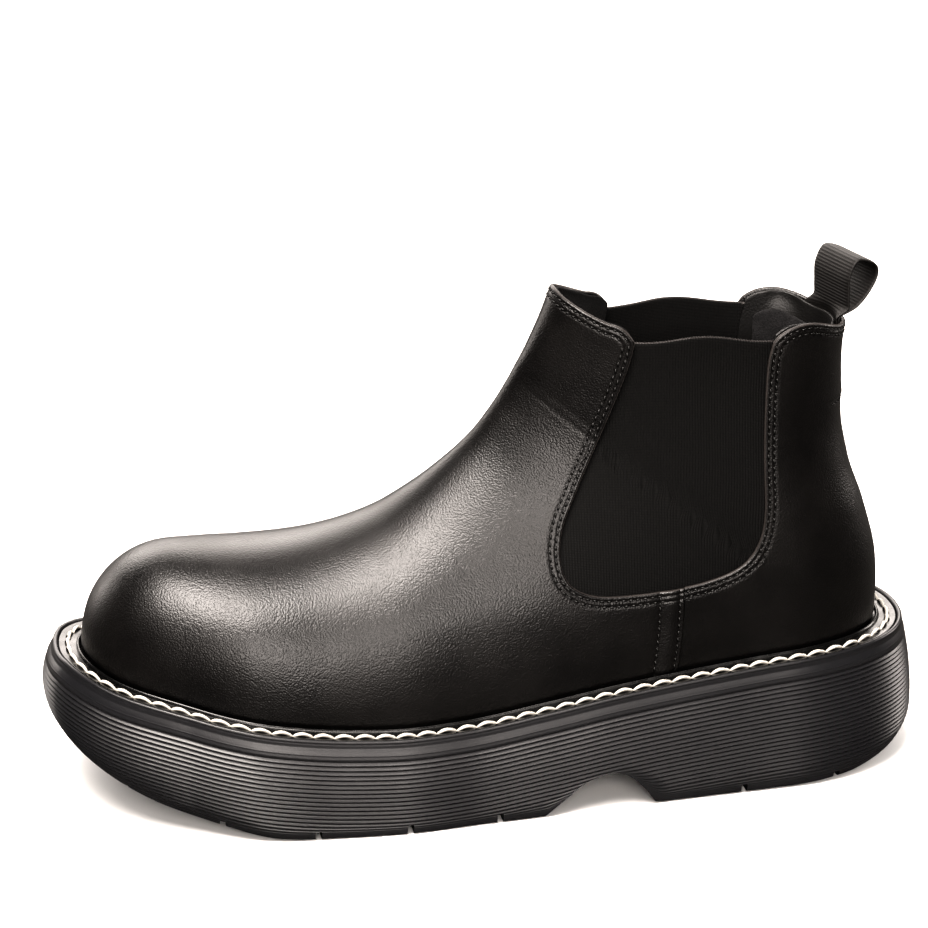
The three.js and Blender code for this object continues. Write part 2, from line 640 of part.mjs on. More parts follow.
const trimmed = (edge, ends) => edge.slice(ends, edge.length - ends);
const goreRows = (sign) => doubleRow(trimmed(goreEdge(stitchInset), 1), trimmed(goreEdge(stitchInset + rowSpacing), 1), sign);

function seamRows(sign) {
  const low = feather(seam) + rowEnd + fitGap + thread;
  const high = Math.min(...goreEdge(stitchInset + rowSpacing).map((p) => p[1])) - rowEnd;
  const line = (x) => [0, 0.25, 0.5, 0.75, 1].map((share) => [x - seamLean * share, lerp(high, low, share)]);
  return doubleRow(line(seam - stitchInset), line(seam - stitchInset - seamRowSpacing), sign);
}

// double row that goes round the front or the back of the leg, at heights given along X
function roundRows(startX, heightAt, towards) {
  const line = (drop) => {
    const height = (x) => heightAt(x) - drop;
    const step = towards * 0.25;
    let end = startX;
    while (skinY(end + step, height(end + step), -1) !== null) end += step;
    const last = 7;
    const xs = [...Array(last + 1).keys()].map((i) => lerp(startX, end - step, Math.sin((Math.PI / 2) * (i / last))));
    const half = (sign) => xs.map((x) => onLeather([x, height(x)], sign)).filter((p) => p !== null);
    return [...half(-1), [end + towards * rowStandOff, toeShift(end), height(end)], ...half(1).reverse()];
  };
  return tube([...line(0), ...line(rowSpacing).reverse()], thread);
}
const collarStart = stitchInset + rowSpacing + 3 * thread; // clear of the rows along the elastic
const frontRows = () => roundRows(goreTop[0][0] - collarStart, (x) => collarHeight(x) - stitchInset - thread, -1);
const backRows = () => roundRows(goreTop[1][0] + collarStart + 2 * thread, (x) => collarHeight(x) - stitchInset - thread, 1);
const tackRow = () => roundRows(backMost - tackReach, () => collarHeight(backMost) - tackDrop, 1);

const weltStitching = () => {
  const points = [];
  const lift = fitGap + weltThread / 2;
  const perimeter = planRing(weltStitchInset, (x) => weltTop(x));
  const line = new THREE.CatmullRomCurve3(perimeter.map((p) => new THREE.Vector3(...p)), true);
  const count = Math.round(line.getLength() / weltStitchPitch);
  for (let i = 0; i <= 2 * count - 1; i++) {
    const p = line.getPointAt((i / (2 * count)) % 1);
    points.push([p.x, p.y, p.z + lift + (i % 2 ? weltStitchBow : 0)]);
  }
  return tube(points, weltThread, 3);
};

// ---------------------------------------------------------------- pull tab
const tabTurn = THREE.MathUtils.degToRad(tabTwist);
const tabBase = [backLine(collar[collar.length - 1][1]) - middleFrom - middleLayer / 2, tabSide * scaleY,
  collar[collar.length - 1][1] + tabRise];

function tabLoop() {
  const t = tabThickness;
  const [h, g] = [tabHeight - tabRise, tabGap];
  const foot = 0.4; // the loop's ends stand this far up, with a hair's gap between them
  const outer = [[-t, foot], [-t - 0.4, h * 0.4], [-t - 0.3, h * 0.72], [t * 0.6 + g * 0.05, h * 0.97], [g * 0.55, h],
    [g + t * 1.2, h * 0.86], [g + t * 1.4, h * 0.62], [g * 0.62 + t, h * 0.3], [t, foot]];
  const line = new THREE.SplineCurve(outer.map((p) => new THREE.Vector2(...p))).getPoints(26);
  const inner = line.map((p, i) => {
    const a = line[Math.max(i - 1, 0)];
    const b = line[Math.min(i + 1, line.length - 1)];
    const along = new THREE.Vector2().subVectors(b, a).normalize();
    return new THREE.Vector2(p.x + along.y * t, p.y - along.x * t);
  });
  inner[0].set(-0.05, foot);
  inner[inner.length - 1].set(0.05, foot);
  const shape = new THREE.Shape([...line, ...inner.reverse()]);
  const g3 = new THREE.ExtrudeGeometry(shape, { depth: tabWidth, bevelEnabled: false });
  g3.translate(0, 0, -tabWidth / 2);
  g3.rotateX(Math.PI / 2);
  g3.rotateZ(tabTurn);
  g3.translate(...tabBase);
  return toSolid(g3);
}

function tabAnchor() {
  const half = tabWidth / 2;
  const y = tabBase[1];
  const top = collar[collar.length - 1][1] - middleDrop;
  const front = tabBase[0] - 20; // ahead of the back of the leg
  return middleShell.intersect(sidePrism([[front, top - tabTail], [far, top - tabTail], [far, top], [front, top]],
    y - half, y + half));
}

// ---------------------------------------------------------------- the boot
const finishes = {
  leather: { color: 0x1b1a1a, roughness: 0.38, metalness: 0 },
  elastic: { color: 0x161616, roughness: 0.9, metalness: 0 },
  lining: { color: 0x232325, roughness: 0.95, metalness: 0 },
  suede: { color: 0x3a3a3d, roughness: 1, metalness: 0 },
  board: { color: 0x8b7355, roughness: 0.9, metalness: 0 },
  cork: { color: 0x9a8468, roughness: 0.95, metalness: 0 },
  steel: { color: 0x9a9ca0, roughness: 0.35, metalness: 1 },
  foam: { color: 0x2b2b2e, roughness: 0.95, metalness: 0 },
  rubber: { color: 0x2b2b2d, roughness: 0.5, metalness: 0 },
  whiteThread: { color: 0xd9d6cf, roughness: 0.7, metalness: 0 },
  blackThread: { color: 0x141414, roughness: 0.6, metalness: 0 },
  webbing: { color: 0x1c1b1b, roughness: 0.85, metalness: 0 },
  stiffener: { color: 0x6d6a64, roughness: 0.8, metalness: 0 },
};

const boot = new THREE.Group();
function add(name, finish, solid) {
  const mesh = new THREE.Mesh(toGeometry(solid), new THREE.MeshStandardMaterial(finishes[finish]));
  mesh.name = name;
  boot.add(mesh);
}

add('outsole', 'rubber', outsoleBody());
add('welt', 'leather', weltBody());
add('welt_stitching', 'whiteThread', weltStitching());
add('bottom_filler', 'cork', fillerBody());
add('shank', 'steel', shankBox(0));
add('insole_board', 'board', insoleBoard());
add('footbed', 'foam', footbed());
add('vamp', 'leather', vampBody());
add('back_quarter', 'leather', quarterBody());
add('outer_gore', 'elastic', goreBody(-1));
add('inner_gore', 'elastic', goreBody(1));
add('toe_puff', 'stiffener', toePuff());
add('heel_counter', 'stiffener', heelCounter());
add('vamp_lining', 'lining', vampLining());
add('quarter_lining', 'lining', quarterLining());
add('collar_facing', 'leather', collarFacing());
add('heel_patch', 'suede', heelPatch());
add('outer_gore_stitching', 'blackThread', goreRows(-1));
add('inner_gore_stitching', 'blackThread', goreRows(1));
add('outer_seam_stitching', 'blackThread', seamRows(-1));
add('inner_seam_stitching', 'blackThread', seamRows(1));
add('collar_front_stitching', 'blackThread', frontRows());
add('collar_back_stitching', 'blackThread', backRows());
add('back_tack_stitching', 'blackThread', tackRow());
add('pull_tab', 'webbing', tabLoop());
add('pull_tab_tail', 'webbing', tabAnchor());

// the origin goes to the middle of the sole's box
const soleBox = new THREE.Box3().setFromObject(boot.getObjectByName('outsole'));
const middle = soleBox.getCenter(new THREE.Vector3());
boot.position.set(-middle.x, -middle.y, 0);

export default boot;
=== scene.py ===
import math
from itertools import chain

import bpy
import bmesh
import numpy as np
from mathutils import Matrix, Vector


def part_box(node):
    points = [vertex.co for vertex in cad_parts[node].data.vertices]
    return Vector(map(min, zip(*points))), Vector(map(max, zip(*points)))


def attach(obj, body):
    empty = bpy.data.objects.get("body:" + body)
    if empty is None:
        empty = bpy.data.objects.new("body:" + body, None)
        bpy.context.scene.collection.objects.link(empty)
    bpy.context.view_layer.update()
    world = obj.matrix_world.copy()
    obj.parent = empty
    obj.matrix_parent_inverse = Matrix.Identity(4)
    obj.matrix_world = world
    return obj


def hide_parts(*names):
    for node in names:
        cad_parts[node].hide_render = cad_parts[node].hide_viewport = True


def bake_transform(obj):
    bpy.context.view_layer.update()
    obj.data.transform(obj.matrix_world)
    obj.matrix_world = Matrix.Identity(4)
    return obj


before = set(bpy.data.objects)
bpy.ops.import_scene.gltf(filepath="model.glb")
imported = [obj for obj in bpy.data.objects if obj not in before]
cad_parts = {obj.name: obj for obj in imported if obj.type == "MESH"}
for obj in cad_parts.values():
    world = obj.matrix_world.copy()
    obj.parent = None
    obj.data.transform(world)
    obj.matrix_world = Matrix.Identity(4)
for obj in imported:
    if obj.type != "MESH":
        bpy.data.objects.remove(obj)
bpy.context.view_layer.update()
mm = 0.001
print("frame loaded")

# Camera
view = {"azimuth": -10, "elevation": 20, "distance": 1.215, "aim": (-0.0071, 0.0005, 0.1123), "lens": 134.3}


def addCamera():
    turn, rise = math.radians(view["azimuth"]), math.radians(view["elevation"])
    back = Vector((math.sin(turn) * math.cos(rise), -math.cos(turn) * math.cos(rise), math.sin(rise)))
    data = bpy.data.cameras.new("camera")
    data.lens = view["lens"]
    data.sensor_width = 36
    data.clip_end = 50
    camera = bpy.data.objects.new("camera", data)
    camera.location = Vector(view["aim"]) + back * view["distance"]
    camera.rotation_euler = (-back).to_track_quat("-Z", "Y").to_euler()
    bpy.context.scene.collection.objects.link(camera)
    bpy.context.scene.camera = camera


addCamera()

# Sizes, as the frame was designed
boot = {
    "length": 314, "width": 121, "height": 178,
    "leather": 1.8, "middle": 1.2, "lining": 1.0, "gap": 0.3,
    "weltThickness": 2.8, "weltShow": 8, "weltUnder": 5, "stitchInset": 1.6, "rowSpacing": 2.0,
    "bulge": 6, "lip": 1.5, "seamX": 63.5,
}
drawn = {"length": 302.5, "width": 108.6, "height": 178}
scaleX = (boot["length"] - 2 * boot["bulge"]) / drawn["length"]
scaleY = (boot["width"] - 2 * boot["bulge"]) / drawn["width"]
scaleZ = boot["height"] / drawn["height"]


def table(pairs, stretch=1.0, lift=1.0):  # smooth line through [x, value] pairs, with no overshoot
    xs = np.array([p[0] for p in pairs]) * stretch
    ys = np.array([p[1] for p in pairs]) * lift
    slopes = np.diff(ys) / np.diff(xs)
    both = slopes[:-1] * slopes[1:]
    total = np.where(both > 0, slopes[:-1] + slopes[1:], 1.0)
    tangents = np.concatenate([slopes[:1], np.where(both > 0, 2 * both / total, 0.0), slopes[-1:]])

    def at(x):
        x = np.clip(np.asarray(x, float), xs[0], xs[-1])
        i = np.clip(np.searchsorted(xs, x, side="right") - 1, 0, len(xs) - 2)
        h = xs[i + 1] - xs[i]
        t = (x - xs[i]) / h
        return ((2 * t**3 - 3 * t**2 + 1) * ys[i] + (t**3 - 2 * t**2 + t) * h * tangents[i]
                + (3 * t**2 - 2 * t**3) * ys[i + 1] + (t**3 - t**2) * h * tangents[i + 1])
    return at


def rounded(distance, power):  # superellipse, 0 at an edge to 1
    return (1 - (1 - np.clip(distance, 0, 1)) ** power) ** (1 / power)


def smooth(x, low, high):
    t = np.clip((x - low) / (high - low), 0, 1)
    return t * t * (3 - 2 * t)


def lerp(a, b, t):
    return a + (b - a) * t


def hump(x, middle, width):  # soft bell, 1 in the middle
    return np.exp(-(((x - middle) / width) ** 2))


# Plan and heights of the sole
toeTip, heelTip = -152.5 * scaleX, 150 * scaleX
toeRound, heelRound, roundPower = 75 * scaleX, 50 * scaleX, 2.2
outerHalf = table([(-112, 51), (-70, 54.6), (-40, 54.8), (-10, 52), (25, 48.5), (60, 44.8), (95, 42),
                   (118, 41)], scaleX, scaleY)
innerHalf = table([(-112, 48.5), (-70, 53.8), (-40, 51.5), (-10, 45.5), (25, 40), (60, 37.8), (95, 38.5),
                   (118, 39)], scaleX, scaleY)
toeShift = table([(-150, 3), (-125, 2.2), (-90, 0)], scaleX, scaleY)
weltTop = table([(-150, 52.7), (-142, 50.3), (-134, 48), (-117, 44.5), (-97, 40), (-77, 36.6), (-57, 34.2),
                 (-37, 33.2), (-18, 33.6), (13, 37), (35, 40), (57, 42.3), (77, 44.2), (99, 46.2),
                 (118, 47.6), (134, 48.4), (150, 48.6)], scaleX, scaleZ)
soleBottom = table([(-153, 20), (-146, 16), (-136, 12), (-120, 7), (-100, 3), (-76, 0), (122, 0), (136, 1.5),
                    (150, 5)], scaleX, scaleZ)


def halfPlan(x, inset, side):
    half = np.where(side < 0, outerHalf(x), innerHalf(x)) - inset
    toe = rounded((x - toeTip - inset) / (toeRound - inset), roundPower)
    heel = rounded((heelTip - inset - x) / (heelRound - inset), roundPower)
    return toeShift(x) + side * half * toe * heel


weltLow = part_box("welt")[0]
planLine = np.linspace(toeTip, heelTip, 2001)
shift = np.array([weltLow.x / mm - toeTip, weltLow.y / mm - halfPlan(planLine, 0, -1.0).min(), 0])


def toFrame(points):
    return (np.asarray(points, float) + shift) * mm


# Mesh helpers
def addObject(name, points, faces):
    mesh = bpy.data.meshes.new(name)
    mesh.from_pydata(toFrame(points).tolist(), [], faces)
    work = bmesh.new()
    work.from_mesh(mesh)
    bmesh.ops.remove_doubles(work, verts=work.verts, dist=0.002 * mm)
    bmesh.ops.dissolve_degenerate(work, edges=work.edges, dist=0.001 * mm)
    bmesh.ops.recalc_face_normals(work, faces=work.faces)
    work.to_mesh(mesh)
    work.free()
    mesh.shade_smooth()
    piece = bpy.data.objects.new(name, mesh)
    bpy.context.scene.collection.objects.link(piece)
    return piece


def paintFaces(piece, material, chosen):  # a second material on the faces that a test of their centres picks
    piece.data.materials.append(material)
    centres = np.array([face.center for face in piece.data.polygons]) / mm - shift
    picked = chosen(centres[:, 0], centres[:, 2])
    piece.data.polygons.foreach_set("material_index", picked.astype(int))


def settle(piece, material, node):  # gives the piece its finish and its body, and hides the CAD node it stands for
    piece.data.materials.clear()
    piece.data.materials.append(finishes[material])
    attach(piece, "root")
    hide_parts(node)


def gridFaces(rows, columns, closed=False):
    faces = []
    width = columns if closed else columns - 1
    for r in range(rows - 1):
        for c in range(width):
            a, b = r * columns + c, r * columns + (c + 1) % columns
            faces.append((a, b, b + columns, a + columns))
    return faces


def crossFaces(start, stations):  # joins each ring point to its partner on the other side
    count = 2 * stations
    return [(start + i, start + i + 1, start + count - i - 1, start + (count - i) % count)
            for i in range(stations)]


def around(stations):  # share along the boot and side, once round the plan
    along = np.concatenate([np.arange(stations + 1), np.arange(stations - 1, 0, -1)]) / stations
    side = np.where(np.arange(2 * stations) <= stations, -1.0, 1.0)
    return (1 - np.cos(np.pi * along)) / 2, side


def planPoints(inset, height, stations, onEdge=False):
    share, side = around(stations)
    x = lerp(toeTip + inset, heelTip - inset, share)
    edge = lerp(toeTip, heelTip, share)
    return np.stack([x, halfPlan(x, inset, side), height(edge if onEdge else x)], axis=1)


def ringPiece(name, rings, stations, closedAcross=False):
    points = np.concatenate(rings)
    count = len(rings)
    faces = gridFaces(count, 2 * stations, closed=True)
    if closedAcross:  # a strip whose section closes on itself
        base = (count - 1) * 2 * stations
        n = 2 * stations
        faces += [(base + k, base + (k + 1) % n, (k + 1) % n, k) for k in range(n)]
    else:
        faces += crossFaces(0, stations) + crossFaces((count - 1) * 2 * stations, stations)
    return addObject(name, points, faces)


# Materials
def linear(code):  # sRGB hex to linear colour
    values = [int(code[i:i + 2], 16) / 255 for i in (1, 3, 5)]
    return [v / 12.92 if v <= 0.04045 else ((v + 0.055) / 1.055) ** 2.4 for v in values] + [1.0]


def perMm(size):  # texture scale for a feature of this many millimetres
    return 1 / (size * mm)


def setSockets(tree, node, sockets):  # a value goes on its socket, and another node's output is linked to it
    for key, value in sockets.items():
        if isinstance(value, bpy.types.NodeSocket):
            tree.links.new(value, node.inputs[key])
        else:
            node.inputs[key].default_value = value


def addNode(tree, kind, sockets, out=0, colours=(), **settings):  # colours are the two ends of a ramp
    node = tree.nodes.new("ShaderNode" + kind)
    for key, value in settings.items():
        setattr(node, key, value)
    for end, code in enumerate(colours):
        node.color_ramp.elements[end].color = linear(code)
    setSockets(tree, node, sockets)
    return node.outputs[out]


def newMaterial(name, colour, roughness, sockets):
    material = bpy.data.materials.new(name)
    material.use_nodes = True
    tree = material.node_tree
    shader = tree.nodes["Principled BSDF"]
    setSockets(tree, shader, {"Base Color": linear(colour), "Roughness": roughness, **sockets})
    return material, tree, shader, addNode(tree, "TexCoord", {}, out="Object")


def grainedLeather(name, colour, worn, roughness, grain, depth):
    # corrected-grain cowhide, printed pebble, satin lacquer: soft wide highlights broken up by the grain
    material, tree, shader, place = newMaterial(name, colour, roughness, {
        "IOR": 1.5, "Coat Weight": 0.12, "Coat Roughness": 0.28})
    warp = addNode(tree, "TexNoise", {"Vector": place, "Scale": perMm(3.0), "Detail": 2}, out="Color")
    bent = addNode(tree, "VectorMath", {0: warp, 1: (0.7 * mm,) * 3}, operation="MULTIPLY")
    moved = addNode(tree, "VectorMath", {0: place, 1: bent}, operation="ADD")
    cells = addNode(tree, "TexVoronoi", {"Vector": moved, "Scale": perMm(grain)}, feature="SMOOTH_F1")
    fine = addNode(tree, "TexNoise", {"Vector": place, "Scale": perMm(0.35), "Detail": 3, "Roughness": 0.6})
    hide = addNode(tree, "TexNoise", {"Vector": place, "Scale": perMm(28), "Detail": 4, "Roughness": 0.55})
    wear = addNode(tree, "MapRange", {"Value": hide, "From Min": 0.35, "From Max": 0.7})
    tone = addNode(tree, "ValToRGB", {"Fac": wear}, colours=(colour, worn))
    patchy = addNode(tree, "MapRange", {"Value": hide, "From Min": 0.3, "From Max": 0.7,
                                        "To Min": roughness - 0.05, "To Max": roughness + 0.06})
    domes = addNode(tree, "MapRange", {"Value": cells, "From Max": 0.9, "To Min": 1, "To Max": 0})
    pebble = addNode(tree, "Bump", {"Height": domes, "Distance": depth * mm, "Strength": 1})
    skin = addNode(tree, "Bump", {"Height": fine, "Distance": depth * 0.45 * mm, "Strength": 0.8,
                                  "Normal": pebble})
    setSockets(tree, shader, {"Base Color": tone, "Roughness": patchy, "Normal": skin, "Coat Normal": pebble})
    return material


def mouldedRubber():
    # EVA and rubber blend, moulded with a fine spark finish: dark grey, satin, almost no grain
    material, tree, shader, place = newMaterial("moulded_rubber", "#1c1c1e", 0.36, {"IOR": 1.52})
    speck = addNode(tree, "TexNoise", {"Vector": place, "Scale": perMm(0.5), "Detail": 3})
    broad = addNode(tree, "TexNoise", {"Vector": place, "Scale": perMm(40), "Detail": 3})
    tone = addNode(tree, "ValToRGB", {"Fac": broad}, colours=("#19191b", "#1f1f21"))
    satin = addNode(tree, "MapRange", {"Value": broad, "From Min": 0.3, "From Max": 0.7, "To Min": 0.33,
                                       "To Max": 0.41})
    spark = addNode(tree, "Bump", {"Height": speck, "Distance": 0.05 * mm, "Strength": 0.7})
    setSockets(tree, shader, {"Base Color": tone, "Roughness": satin, "Normal": spark})
    return material


def coatedWelt():
    # PVC welt strip with a burnished face: smooth and glossier than the leather above it
    material, tree, shader, place = newMaterial("burnished_welt_strip", "#0d0d0d", 0.26, {"IOR": 1.52})
    drag = addNode(tree, "TexNoise", {"Vector": place, "Scale": perMm(6), "Detail": 4})
    gloss = addNode(tree, "MapRange", {"Value": drag, "From Min": 0.3, "From Max": 0.7, "To Min": 0.2,
                                       "To Max": 0.34})
    ripple = addNode(tree, "Bump", {"Height": drag, "Distance": 0.12 * mm, "Strength": 0.5})
    setSockets(tree, shader, {"Roughness": gloss, "Normal": ripple})
    return material


def twistedThread(name, colour, shade, roughness, fibre):
    # bonded polyester sewing thread: plies of fine fibres with a dull waxed shine
    material, tree, shader, place = newMaterial(name, colour, roughness, {"IOR": 1.5})
    fibres = addNode(tree, "TexNoise", {"Vector": place, "Scale": perMm(fibre), "Detail": 3})
    tone = addNode(tree, "ValToRGB", {"Fac": fibres}, colours=(shade, colour))
    twist = addNode(tree, "Bump", {"Height": fibres, "Distance": 0.06 * mm, "Strength": 0.8})
    setSockets(tree, shader, {"Base Color": tone, "Normal": twist})
    return material


def knittedElastic():
    # covered rubber threads under a black knit: dead matt, with a painted highlight that colours each
    # course's crest a faint lighter tone
    material, tree, shader, place = newMaterial("ribbed_elastic", "#060505", 0.75, {"IOR": 1.35})
    coursePitch = 0.55 * mm
    height = addNode(tree, "SeparateXYZ", {"Vector": place}, out="Z")
    turns = addNode(tree, "Math", {0: height, 1: 2 * math.pi / coursePitch}, operation="MULTIPLY")
    courses = addNode(tree, "Math", {0: turns}, operation="SINE")
    fuzz = addNode(tree, "TexNoise", {"Vector": place, "Scale": perMm(0.4), "Detail": 3})
    both = addNode(tree, "Math", {0: courses, 1: 0.35, 2: fuzz}, operation="MULTIPLY_ADD")
    paintedCrestHighlight = addNode(tree, "MapRange", {"Value": both, "From Min": 0.2, "From Max": 0.95})
    # painted highlight: the crests of the courses get the lighter colour
    tone = addNode(tree, "ValToRGB", {"Fac": paintedCrestHighlight}, colours=("#010101", "#090807"))
    knit = addNode(tree, "Bump", {"Height": both, "Distance": 0.09 * mm, "Strength": 0.8})
    setSockets(tree, shader, {"Base Color": tone, "Normal": knit})
    return material


def nappedTextile(name, colour, light, pile):
    # brushed synthetic lining or split suede: matt, with a short uneven pile that catches light at its tips
    material, tree, shader, place = newMaterial(name, colour, 0.95, {"IOR": 1.45})
    tips = addNode(tree, "TexNoise", {"Vector": place, "Scale": perMm(pile), "Detail": 5, "Roughness": 0.7})
    clumps = addNode(tree, "TexNoise", {"Vector": place, "Scale": perMm(5), "Detail": 3})
    both = addNode(tree, "Math", {0: clumps, 1: 0.5, 2: tips}, operation="MULTIPLY_ADD")
    lit = addNode(tree, "MapRange", {"Value": both, "From Min": 0.5, "From Max": 1.0})
    tone = addNode(tree, "ValToRGB", {"Fac": lit}, colours=(colour, light))
    nap = addNode(tree, "Bump", {"Height": both, "Distance": 0.5 * mm, "Strength": 0.9})
    setSockets(tree, shader, {"Base Color": tone, "Normal": nap})
    return material


def wovenWebbing():
    # grosgrain polyester tape, whose cross ribs are in its mesh: fine fibres and a dull sheen
    material, tree, shader, place = newMaterial("grosgrain_webbing", "#141110", 0.6, {"IOR": 1.5})
    fuzz = addNode(tree, "TexNoise", {"Vector": place, "Scale": perMm(0.45), "Detail": 3})
    lit = addNode(tree, "MapRange", {"Value": fuzz, "From Min": 0.35, "From Max": 0.7})
    tone = addNode(tree, "ValToRGB", {"Fac": lit}, colours=("#080706", "#171412"))
    weave = addNode(tree, "Bump", {"Height": fuzz, "Distance": 0.08 * mm, "Strength": 0.8})
    setSockets(tree, shader, {"Base Color": tone, "Normal": weave})
    return material


def pressedBoard(name, colour, dark, roughness, speckSize, depth):
    # pressed fibre, cork or foam: a matt speckled ground with shallow pits
    material, tree, shader, place = newMaterial(name, colour, roughness, {"IOR": 1.45})
    specks = addNode(tree, "TexVoronoi", {"Vector": place, "Scale": perMm(speckSize)})
    fuzz = addNode(tree, "TexNoise", {"Vector": place, "Scale": perMm(speckSize * 0.6), "Detail": 4})
    tone = addNode(tree, "ValToRGB", {"Fac": specks}, colours=(dark, colour))
    pits = addNode(tree, "Bump", {"Height": fuzz, "Distance": depth * mm, "Strength": 0.7})
    setSockets(tree, shader, {"Base Color": tone, "Normal": pits})
    return material


def temperedSteel():
    # cold-rolled spring steel, oiled: grey metal with fine lines along its length
    material, tree, shader, place = newMaterial("tempered_steel", "#8f9296", 0.32, {"Metallic": 1.0})
    stretch = (perMm(30), perMm(0.3), perMm(0.3))
    stretched = addNode(tree, "Mapping", {"Vector": place, "Scale": stretch})
    lines = addNode(tree, "TexNoise", {"Vector": stretched, "Scale": 1, "Detail": 3})
    oiled = addNode(tree, "MapRange", {"Value": lines, "From Min": 0.3, "From Max": 0.7, "To Min": 0.24,
                                       "To Max": 0.42})
    rolledFace = addNode(tree, "Bump", {"Height": lines, "Distance": 0.02 * mm, "Strength": 0.6})
    setSockets(tree, shader, {"Roughness": oiled, "Normal": rolledFace})
    return material


finishes = {
    "upper": grainedLeather("lacquered_grain_leather", "#070606", "#0d0b0a", 0.37, 0.55, 0.1),
    "facing": grainedLeather("collar_facing_leather", "#080707", "#0f0e0d", 0.5, 0.6, 0.08),
    # painted highlight: a lighter grey laid on the leather's cut edges and on the elastic's top band,
    # standing in for the light they catch
    "edge": pressedBoard("leather_edge_painted_highlight", "#35312f", "#262322", 0.5, 0.5, 0.05),
    "rubber": mouldedRubber(),
    "welt": coatedWelt(),
    "whiteThread": twistedThread("bonded_white_thread", "#d9d5cd", "#8f8b83", 0.5, 0.3),
    "blackThread": twistedThread("bonded_black_thread", "#0e0d0c", "#040404", 0.42, 0.25),
    "elastic": knittedElastic(),
    "lining": nappedTextile("knitted_lining", "#050505", "#0d0c0c", 0.7),
    "suede": nappedTextile("split_suede", "#060606", "#2c2b2c", 0.6),
    "webbing": wovenWebbing(),
    "board": pressedBoard("pressed_fibreboard", "#8b7355", "#5f4c36", 0.9, 1.5, 0.1),
    "cork": pressedBoard("granulated_cork", "#9a8468", "#5e4a35", 0.95, 2.5, 0.3),
    "foam": pressedBoard("covered_foam", "#1c1c1f", "#111113", 0.95, 0.8, 0.1),
    "stiffener": pressedBoard("impregnated_stiffener", "#8a857c", "#6a665f", 0.8, 1.0, 0.06),
    "steel": temperedSteel(),
}
hidden = {"bottom_filler": "cork", "shank": "steel", "insole_board": "board", "toe_puff": "stiffener",
          "heel_counter": "stiffener"}
for nodeName, finish in hidden.items():  # pieces inside the boot keep their CAD shape
    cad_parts[nodeName].data.materials.clear()
    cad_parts[nodeName].data.materials.append(finishes[finish])
print("materials made")

# Outsole
sole = {
    "stations": 200, "ribPitch": 1.6, "ribDepth": 0.6, "firstRib": 5.6, "ribSamples": 5, "ribCount": 32,
    "beadRadius": 0.85, "beadRise": 0.7, "beadGroove": 1.9, "partingLine": 4.1,
    "beadGrooveDepth": 0.35, "partingRidge": 0.1, "straightShare": 0.84, "leastFlat": 0.25,
    "arch": (9, 51.5, 14), "followArch": 0.8, "grooveWidth": 2.2, "grooveDepth": 3.4, "grooveCore": 16,
    "groovePitch": 32, "grooveFirst": -133.5, "foreGrooves": 5, "heelGrooves": (84, 119),
}
soleTuck = table([(-153, 12), (-130, 7), (-100, 3), (-70, -2), (-42, -4.5), (-7, -3.5), (51, -3.5), (84, -3),
                  (103, -1), (122, 2), (150, 4)], scaleX)
bulgeDepth = table([(-153, 0.4), (-110, 0.5), (100, 0.6), (150, 0.72)], scaleX)
cornerPower = table([(-153, 2), (-110, 2.2), (-70, 4), (100, 4), (130, 2.4), (150, 2)], scaleX)


def catmull(values, s):
    values = np.asarray(values, float)
    last = len(values) - 1
    i = np.clip(np.floor(s).astype(int), 0, last - 1)
    t = s - i
    a, b, c, d = values[np.maximum(i - 1, 0)], values[i], values[i + 1], values[np.minimum(i + 2, last)]
    square, cube = 2 * a - 5 * b + 4 * c - d, 3 * b - a - 3 * c + d
    return 0.5 * (2 * b + (c - a) * t + square * t * t + cube * t**3)


def spline(points, steps):
    s = np.linspace(0, len(points) - 1, steps + 1)
    return np.stack([catmull([p[k] for p in points], s) for k in (0, 1)], axis=1)


archShape = [(-0.02, -0.2), (0.05, 0.05), (0.2, 0.42), (0.38, 0.82), (0.58, 1), (0.74, 0.9), (0.88, 0.52),
             (0.99, 0.05), (1.03, -0.2)]
archStart, archEnd, archRise = sole["arch"]
archLine = spline([(lerp(archStart, archEnd, u) * scaleX, v * archRise * scaleZ) for u, v in archShape], 60)


def wallInset(share, edge):
    widest, power, tuck = bulgeDepth(edge), cornerPower(edge), soleTuck(edge)
    bulge, edgeWidth = boot["bulge"], boot["gap"] + boot["lip"]
    above = -bulge + (bulge - edgeWidth) * (1 - np.minimum(share / widest, 1)) ** 2
    down = np.clip((share - widest) / (1 - widest), 0, 1)
    below = tuck - (bulge + tuck) * (1 - down**power) ** (1 / power)
    return np.where(share <= widest, above, below)


